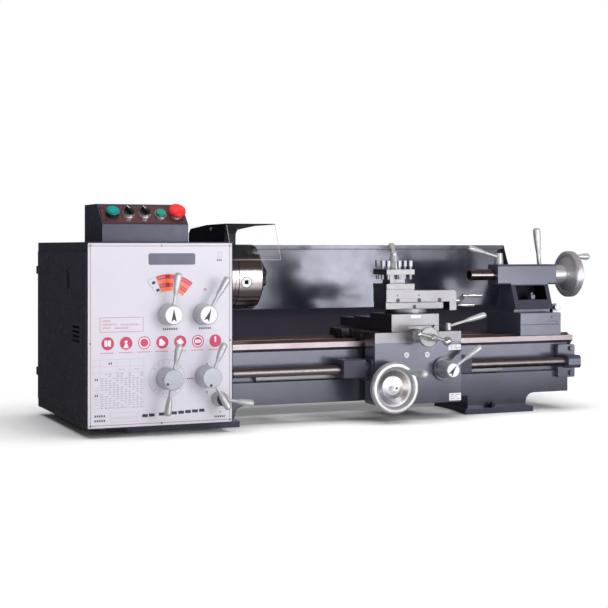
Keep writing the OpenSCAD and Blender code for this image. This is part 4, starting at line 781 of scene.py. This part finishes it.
put_flat("label_print", label_print, INK_GREY, "carriage")
add_layers("apron_plugs", [(128.7, APRON_FRONT, 161.2), (186.2, APRON_FRONT, 160.8)], FORWARD,
           ((SATIN, 7.0, 1.6, 28), (DIAL, 3.4, 2.0, 20)), "carriage")
# Painted shadow on the apron, under the upper label.
put_flat("apron_painted_shadow", lambda bm: add_prism(bm, APRON_SHADOW_OUTLINE, on_apron), BLACK, "carriage")
flange_places = [(HALF_NUT_X, FLANGE_FRONT, HALF_NUT_Z + reach) for reach in (26.5, -26.5)]
cap_screws("half_nut_flange_screws", flange_places, FORWARD, 2.6, 1.2, "carriage")
for index, y in enumerate((-70.0, 70.0)):
    low, high = (WIPER_X[0], y - WIPER_HALF, WIPER_Z[0]), (WIPER_X[1], y + WIPER_HALF, WIPER_Z[1])
    plate(f"wiper_{index}", low, high, RUBBER, "carriage")
    places = [(WIPER_X[0], y + reach, WIPER_SCREW_Z) for reach in (-WIPER_SCREW_REACH, WIPER_SCREW_REACH)]
    cap_screws(f"wiper_{index}_screws", places, LEFTWARD, 2.8, 1.4, "carriage")


MARK_LIFT = 0.06
MARK_HALF = 0.2        # half of a mark's width
SHORT_MARK = 0.55      # of a long mark's length


def add_dial_marks(bm, centre, radius, along, span, count):
    """Fine lines round a dial, every fifth one long. The dial's axis is x, y or z (0, 1, 2)."""
    others = [i for i in (0, 1, 2) if i != along]
    axis = Vector((0, 0, 0))
    axis[along] = 1.0
    for k in range(count):
        a = 2 * math.pi * k / count
        length = span if k % 5 == 0 else span * SHORT_MARK
        radial, side = Vector((0, 0, 0)), Vector((0, 0, 0))
        radial[others[0]], radial[others[1]] = math.cos(a), math.sin(a)
        side[others[0]], side[others[1]] = -math.sin(a), math.cos(a)
        base = Vector(centre) + radial * (radius + MARK_LIFT)
        corners = ((-MARK_HALF, 0), (MARK_HALF, 0), (MARK_HALF, length), (-MARK_HALF, length))
        bm.faces.new([bm.verts.new(base + side * s + axis * t) for s, t in corners])


# Name, centre, radius, axis, length of the long lines, how many, body.
DIALS = (
    ("cross_dial_marks", (162, -222.8, 208), 25, 1, 5.5, 80, "cross_crank"),
    ("swivel_marks", (178, -72, 261.6), 55, 2, 5, 72, "swivel"),
    ("top_dial_marks", (301.6, -72, 289.7), 20, 0, 2.6, 50, "top_crank"),
)
for name, *sizes, body in DIALS:
    put_flat(name, lambda bm, sizes=sizes: add_dial_marks(bm, *sizes), INK, body)

# The set-over step in the tailstock's front, and its slot.
TAIL_FRONT = -85.0
on_tail = at_y(TAIL_FRONT - PRINT_LIFT)


def tail_lines(bm):
    add_bar(bm, 587, 619, 231, 231.9, on_tail)
    add_bar(bm, 587, 587.9, 222.5, 231, on_tail)
    add_bar(bm, 618.1, 619, 222.5, 231, on_tail)
    add_bar(bm, 600.6, 603.6, 238.6, 245, on_tail)


put_flat("tailstock_lines", tail_lines, INK, "tailstock")
add_layers("wheel_hub_nut", [(76, -215.6, 86)], FORWARD, ((CHROME, 7.2, 1.2, 28), (BLACK, 3.2, 1.4, 6)),
           "carriage_wheel")

# Knob faces with a slim arrow: name, axis, Y of the face, body, turn of the arrow, radius.
ARROW = [(0, 15.5), (2.2, 4), (6.4, -15), (0, -9.5), (-6.4, -15), (-2.2, 4)]
ARROW_LIFT = 0.35
DISC_THICK = 0.2
ARROW_KNOBS = (
    ("a", KNOB_A, -226.5, "lever_a", 0, 20.0),
    ("b", KNOB_B, -226.5, "lever_b", 22, 20.0),
    ("half_nut", (HALF_NUT_X, HALF_NUT_Z), -215.5, "half_nut_lever", 36, 15.5),
)
for name, knob, face_y, body, turn, radius in ARROW_KNOBS:
    add_layers(f"knob_{name}_face", [(knob[0], face_y, knob[1])], FORWARD,
               ((LABEL, radius, DISC_THICK, 48),), body)
    c, s = math.cos(math.radians(turn)), math.sin(math.radians(turn))
    shape = [(x * c + z * s + knob[0], -x * s + z * c + knob[1]) for x, z in ARROW]
    place = at_y(face_y - ARROW_LIFT)
    put_flat(f"knob_{name}_arrow", lambda bm, shape=shape, place=place: add_prism(bm, shape, place),
             INK, body)

# Knob faces with a set screw: name, axis, body, the screw's place from the axis.
SCREW_KNOBS = (("c", KNOB_C, "lever_c", (-13.5, -9.0)), ("d", KNOB_D, "lever_d", (-3.5, -17.0)))
SCREW_KNOB_Y = -236.5
SCREW_KNOB_R = 22.2
SET_SCREW = (BLACK, 3.4, 0.35, 20)
for name, knob, body, (screw_x, screw_z) in SCREW_KNOBS:
    add_layers(f"knob_{name}_face", [(knob[0], SCREW_KNOB_Y, knob[1])], FORWARD,
               ((BRUSHED, SCREW_KNOB_R, DISC_THICK, 48),), body)
    add_layers(f"knob_{name}_set_screw", [(knob[0] + screw_x, SCREW_KNOB_Y, knob[1] + screw_z)], FORWARD,
               (SET_SCREW,), body)
add_layers("knob_e_face", [(KNOB_E[0], -213.5, KNOB_E[1])], FORWARD,
           ((STEEL, 14.4, 0.2, 40), (BLACK, 3.0, 0.35, 20)), "lever_e")

# The control box: its slope's own directions.
SLOPE = math.atan2(43.5, 44)
SLOPE_AT = (-605.5, -128, 500.75)
CONTROL_PITCH = 38.1
BOX_N = Vector((0, -math.sin(SLOPE), math.cos(SLOPE)))
BOX_V = Vector((0, math.cos(SLOPE), math.sin(SLOPE)))
PLATE_FACE = 2.3
LAMP_SKIRT = 13.2
SKIRTS = {"selector_left": 10.5, "selector_right": 10.5, "start_button": 5.5, "stop_button": 9.5}
POINTER_TURN = math.radians(28)
POINTER_LIFT = 21.15
POINTER = ((-0.8, 1), (0.8, 1), (0.8, 11), (-0.8, 11))


def on_slope(i, u, v, w):
    """A point near control i: u along the box, v up the slope, w out of it."""
    foot = Vector((SLOPE_AT[0] + CONTROL_PITCH * i + u, SLOPE_AT[1], SLOPE_AT[2]))
    return foot + BOX_V * v + BOX_N * w


def out_of_slope(centre):
    return (Vector(centre) * 1000 - Vector((0, *SLOPE_AT[1:]))).dot(BOX_N)


cap_screws("control_plate_screws", [on_slope(0, u, v, 2) for u in (-18.5, 164.5) for v in (-21, 21)],
           BOX_N, 2.6, 1.2, "frame")
dress("control_plate", CHROME, lambda c, n: out_of_slope(c) > PLATE_FACE)
dress("pilot_lamp", BLACK, lambda c, n: out_of_slope(c) < LAMP_SKIRT)
for node_name, top in SKIRTS.items():
    dress(node_name, CHROME, lambda c, n, top=top: out_of_slope(c) < top)
c, s = math.cos(POINTER_TURN), math.sin(POINTER_TURN)
for index, body in ((1, "selector_left"), (2, "selector_right")):
    points = [on_slope(index, -s * v + c * u, c * v + s * u, POINTER_LIFT) for u, v in POINTER]
    put_flat(f"{body}_pointer", lambda bm, points=points: bm.faces.new([bm.verts.new(p) for p in points]),
             LABEL, body)

# The end door's latch, and the hood's bolt.
CAB_LEFT = mm_box("cabinet")[0][0] + 6
HOOD_LEFT = mm_box("chuck_guard")[0][0]
plate("door_latch", (CAB_LEFT + 1.5, -26, 336), (CAB_LEFT + 3.5, 6, 365), BLACK, "end_door")
cap_screws("hood_bolt", [(HOOD_LEFT + 10, 10, 471)], LEFTWARD, 4.5, 3, "chuck_guard", WHEEL)


def socket_rims(bm, r_in, r_out):
    """A ring round each chuck-key socket."""
    for out, side in socket_directions():
        face = CHUCK_AT + out * (CHUCK_R + PRINT_LIFT)

        def place(u, v, face=face, side=side):
            return face + Vector((u, 0, 0)) + side * v
        add_ring(bm, (0, 0), r_in, r_out, place)


put_flat("chuck_socket_collars", lambda bm: socket_rims(bm, 6.6, 12.4), SATIN, "spindle")
put_flat("chuck_socket_rims", lambda bm: socket_rims(bm, 12.4, 14.0), BLACK, "spindle")
plate("splash_lip_shadow", (-332, 278.4, 420.4), (662, 289.6, 421.8), BLACK, "frame")
SHIELD_LOW, SHIELD_HIGH = mm_box("guard_shield")
SHIELD_EDGE_R = 0.55


def shield_edges(bm):
    """The bright cut edges of the clear sheet, drawn as pale rods: a painted highlight where the edges catch
    light.
    """
    x0, x1 = SHIELD_LOW[0], SHIELD_HIGH[0]
    top_y, top_z = SHIELD_HIGH[1] - 13.5, SHIELD_HIGH[2] - 1
    foot_y, foot_z = SHIELD_LOW[1] + 0.4, SHIELD_LOW[2] + 0.4
    for x in (x0 + 0.4, x1 - 0.4):
        add_rod(bm, (x, top_y, top_z), (x, foot_y, foot_z), SHIELD_EDGE_R, sides=8)
    add_rod(bm, (x0, foot_y, foot_z), (x1, foot_y, foot_z), SHIELD_EDGE_R, sides=8)


# Pale rods along the clear sheet's edges: painted highlight.
put("shield_edges", shield_edges, EDGE, "chuck_guard")


# ------------------------------------------------------------------ stage
FLOOR_HALF = 40
FLOOR_DROP = 0.0005
FLOOR_SHADES = (0.86, 0.86, 0.86), (0.88, 0.88, 0.88)
SHADOW_REACH = (0.75, 1.15)          # the floor turns plain white between these distances
FRONT_GLOW = 3.6
WALL_SHADES = (0.030, 0.030, 0.045), (0.42, 0.43, 0.47)
CEILING = (0.16, 0.12, 0.11)
SOFT_LIGHT = (0.92, 0.93, 1.0)
SOFT_STRENGTH = 0.16


def ray_switch(tree, ray, when_false, when_true):
    """A shader that changes with the kind of ray, such as 'Is Camera Ray'."""
    path = tree.nodes.new("ShaderNodeLightPath")
    return mix_shaders(tree, path.outputs[ray], when_false, when_true)


def emission(tree, strength=1.0):
    node = tree.nodes.new("ShaderNodeEmission")
    feed(tree, node.inputs["Strength"], strength)
    return node.outputs[0]


def background(tree, color, strength=1.0):
    node = tree.nodes.new("ShaderNodeBackground")
    fill(tree, node, {"Color": color, "Strength": strength})
    return node.outputs[0]


def floor_in_reflections(tree):
    """The sweep as polished paint shows it: bright in front, dim under the machine's own shade."""
    split = split_xyz(tree, object_coords(tree))
    near = math_node(tree, "MULTIPLY", ramp(tree, split["X"], 0.2, 1.9, -0.75, -0.55),
                     ramp(tree, split["X"], 1.0, 0.12, 0.10, 0.24))
    level = mix(tree, ramp(tree, split["Y"], 0, 1, -0.85, -1.25), near, FRONT_GLOW, "FLOAT")
    shade = math_node(tree, "MULTIPLY", level, ramp(tree, split["Y"], 0.12, 1.0, -0.35, -0.6))
    return emission(tree, shade)


def add_floor():
    """A white sweep: it takes the object's shadow nearby, and is plain white further out."""
    mesh = bpy.data.meshes.new("floor")
    corners = [(x * FLOOR_HALF, y * FLOOR_HALF, 0) for x, y in ((-1, -1), (1, -1), (1, 1), (-1, 1))]
    mesh.from_pydata(corners, [], [(0, 1, 2, 3)])
    floor = bpy.data.objects.new("floor", mesh)
    SCENE.collection.objects.link(floor)
    floor.location.z = -FLOOR_DROP
    material = bpy.data.materials.new("floor_pale")
    material.use_nodes = True
    tree = material.node_tree
    tree.nodes.clear()
    out = tree.nodes.new("ShaderNodeOutputMaterial")
    diffuse = tree.nodes.new("ShaderNodeBsdfDiffuse")
    grain = noise(tree, object_coords(tree), 2)
    feed(tree, diffuse.inputs["Color"], mix(tree, grain, *FLOOR_SHADES))
    reach = tree.nodes.new("ShaderNodeVectorMath")
    reach.operation = "LENGTH"
    feed(tree, reach.inputs[0], object_coords(tree, (0.8, 1.0, 1.0)))
    further = ramp(tree, reach.outputs["Value"], 0.0, 1.0, *SHADOW_REACH)
    seen = mix_shaders(tree, further, diffuse.outputs[0], emission(tree))
    other = ray_switch(tree, "Is Glossy Ray", diffuse.outputs[0], floor_in_reflections(tree))
    feed(tree, out.inputs["Surface"], ray_switch(tree, "Is Camera Ray", other, seen))
    mesh.materials.append(material)


def add_world():
    """White for the camera; for reflections a studio with a dark left side and a brownish ceiling."""
    world = bpy.data.worlds.new("studio")
    SCENE.world = world
    world.use_nodes = True
    tree = world.node_tree
    tree.nodes.clear()
    out = tree.nodes.new("ShaderNodeOutputWorld")
    coords = tree.nodes.new("ShaderNodeTexCoord")
    split = split_xyz(tree, coords.outputs["Generated"])
    walls = mix(tree, ramp(tree, split["X"], 0, 1, -0.2, 0.9), *WALL_SHADES)
    studio = mix(tree, ramp(tree, split["Z"], 0, 1, 0.12, 0.5), walls, CEILING)
    soft = background(tree, SOFT_LIGHT, SOFT_STRENGTH)
    lit = ray_switch(tree, "Is Glossy Ray", soft, background(tree, studio))
    white = background(tree, (1, 1, 1))
    feed(tree, out.inputs["Surface"], ray_switch(tree, "Is Camera Ray", lit, white))


def area_light(name, place, target, size, power, seen):
    data = bpy.data.lights.new(name, "AREA")
    data.shape = "RECTANGLE"
    data.size, data.size_y = size
    data.energy = power
    light = bpy.data.objects.new(name, data)
    SCENE.collection.objects.link(light)
    light.location = place
    light.rotation_euler = (Vector(target) - Vector(place)).to_track_quat("-Z", "Y").to_euler()
    light.visible_glossy = seen


def add_camera():
    """The photograph's standing point and lens."""
    data = bpy.data.cameras.new("camera")
    data.sensor_width = 36
    data.lens = 81.7
    data.shift_y = -0.0942
    data.clip_end = 100
    camera = bpy.data.objects.new("camera", data)
    SCENE.collection.objects.link(camera)
    camera.location = (-1.436, -3.194, 0.428)
    camera.rotation_euler = (math.radians(90), 0, math.radians(-23.08))
    SCENE.camera = camera


# Name, place, target, size, power in watts, and whether polished surfaces reflect it.
LIGHTS = (
    ("key_left", (0.78, -3.1, 0.85), (0.5, 0, 0.7), (0.6, 1.5), 20, True),
    ("key_right", (1.71, -3.1, 0.85), (1.4, 0, 0.7), (0.58, 1.5), 19, True),
    ("key_low", (2.2, -3.1, 0.05), (2.0, 0, 0.1), (0.5, 0.5), 3, True),
    ("front", (0.5, -3.2, 1.5), (0.3, 0, 0.5), (3.0, 2.4), 46, False),
    ("top", (0.1, -0.3, 2.9), (0.1, -0.2, 0), (3.6, 2.6), 105, False),
    ("back", (0.2, 2.4, 1.8), (0.1, 0.4, 0), (3.2, 1.2), 30, False),
)

add_floor()
add_world()
for light in LIGHTS:
    area_light(*light)
add_camera()
SCENE.view_settings.view_transform = "Standard"
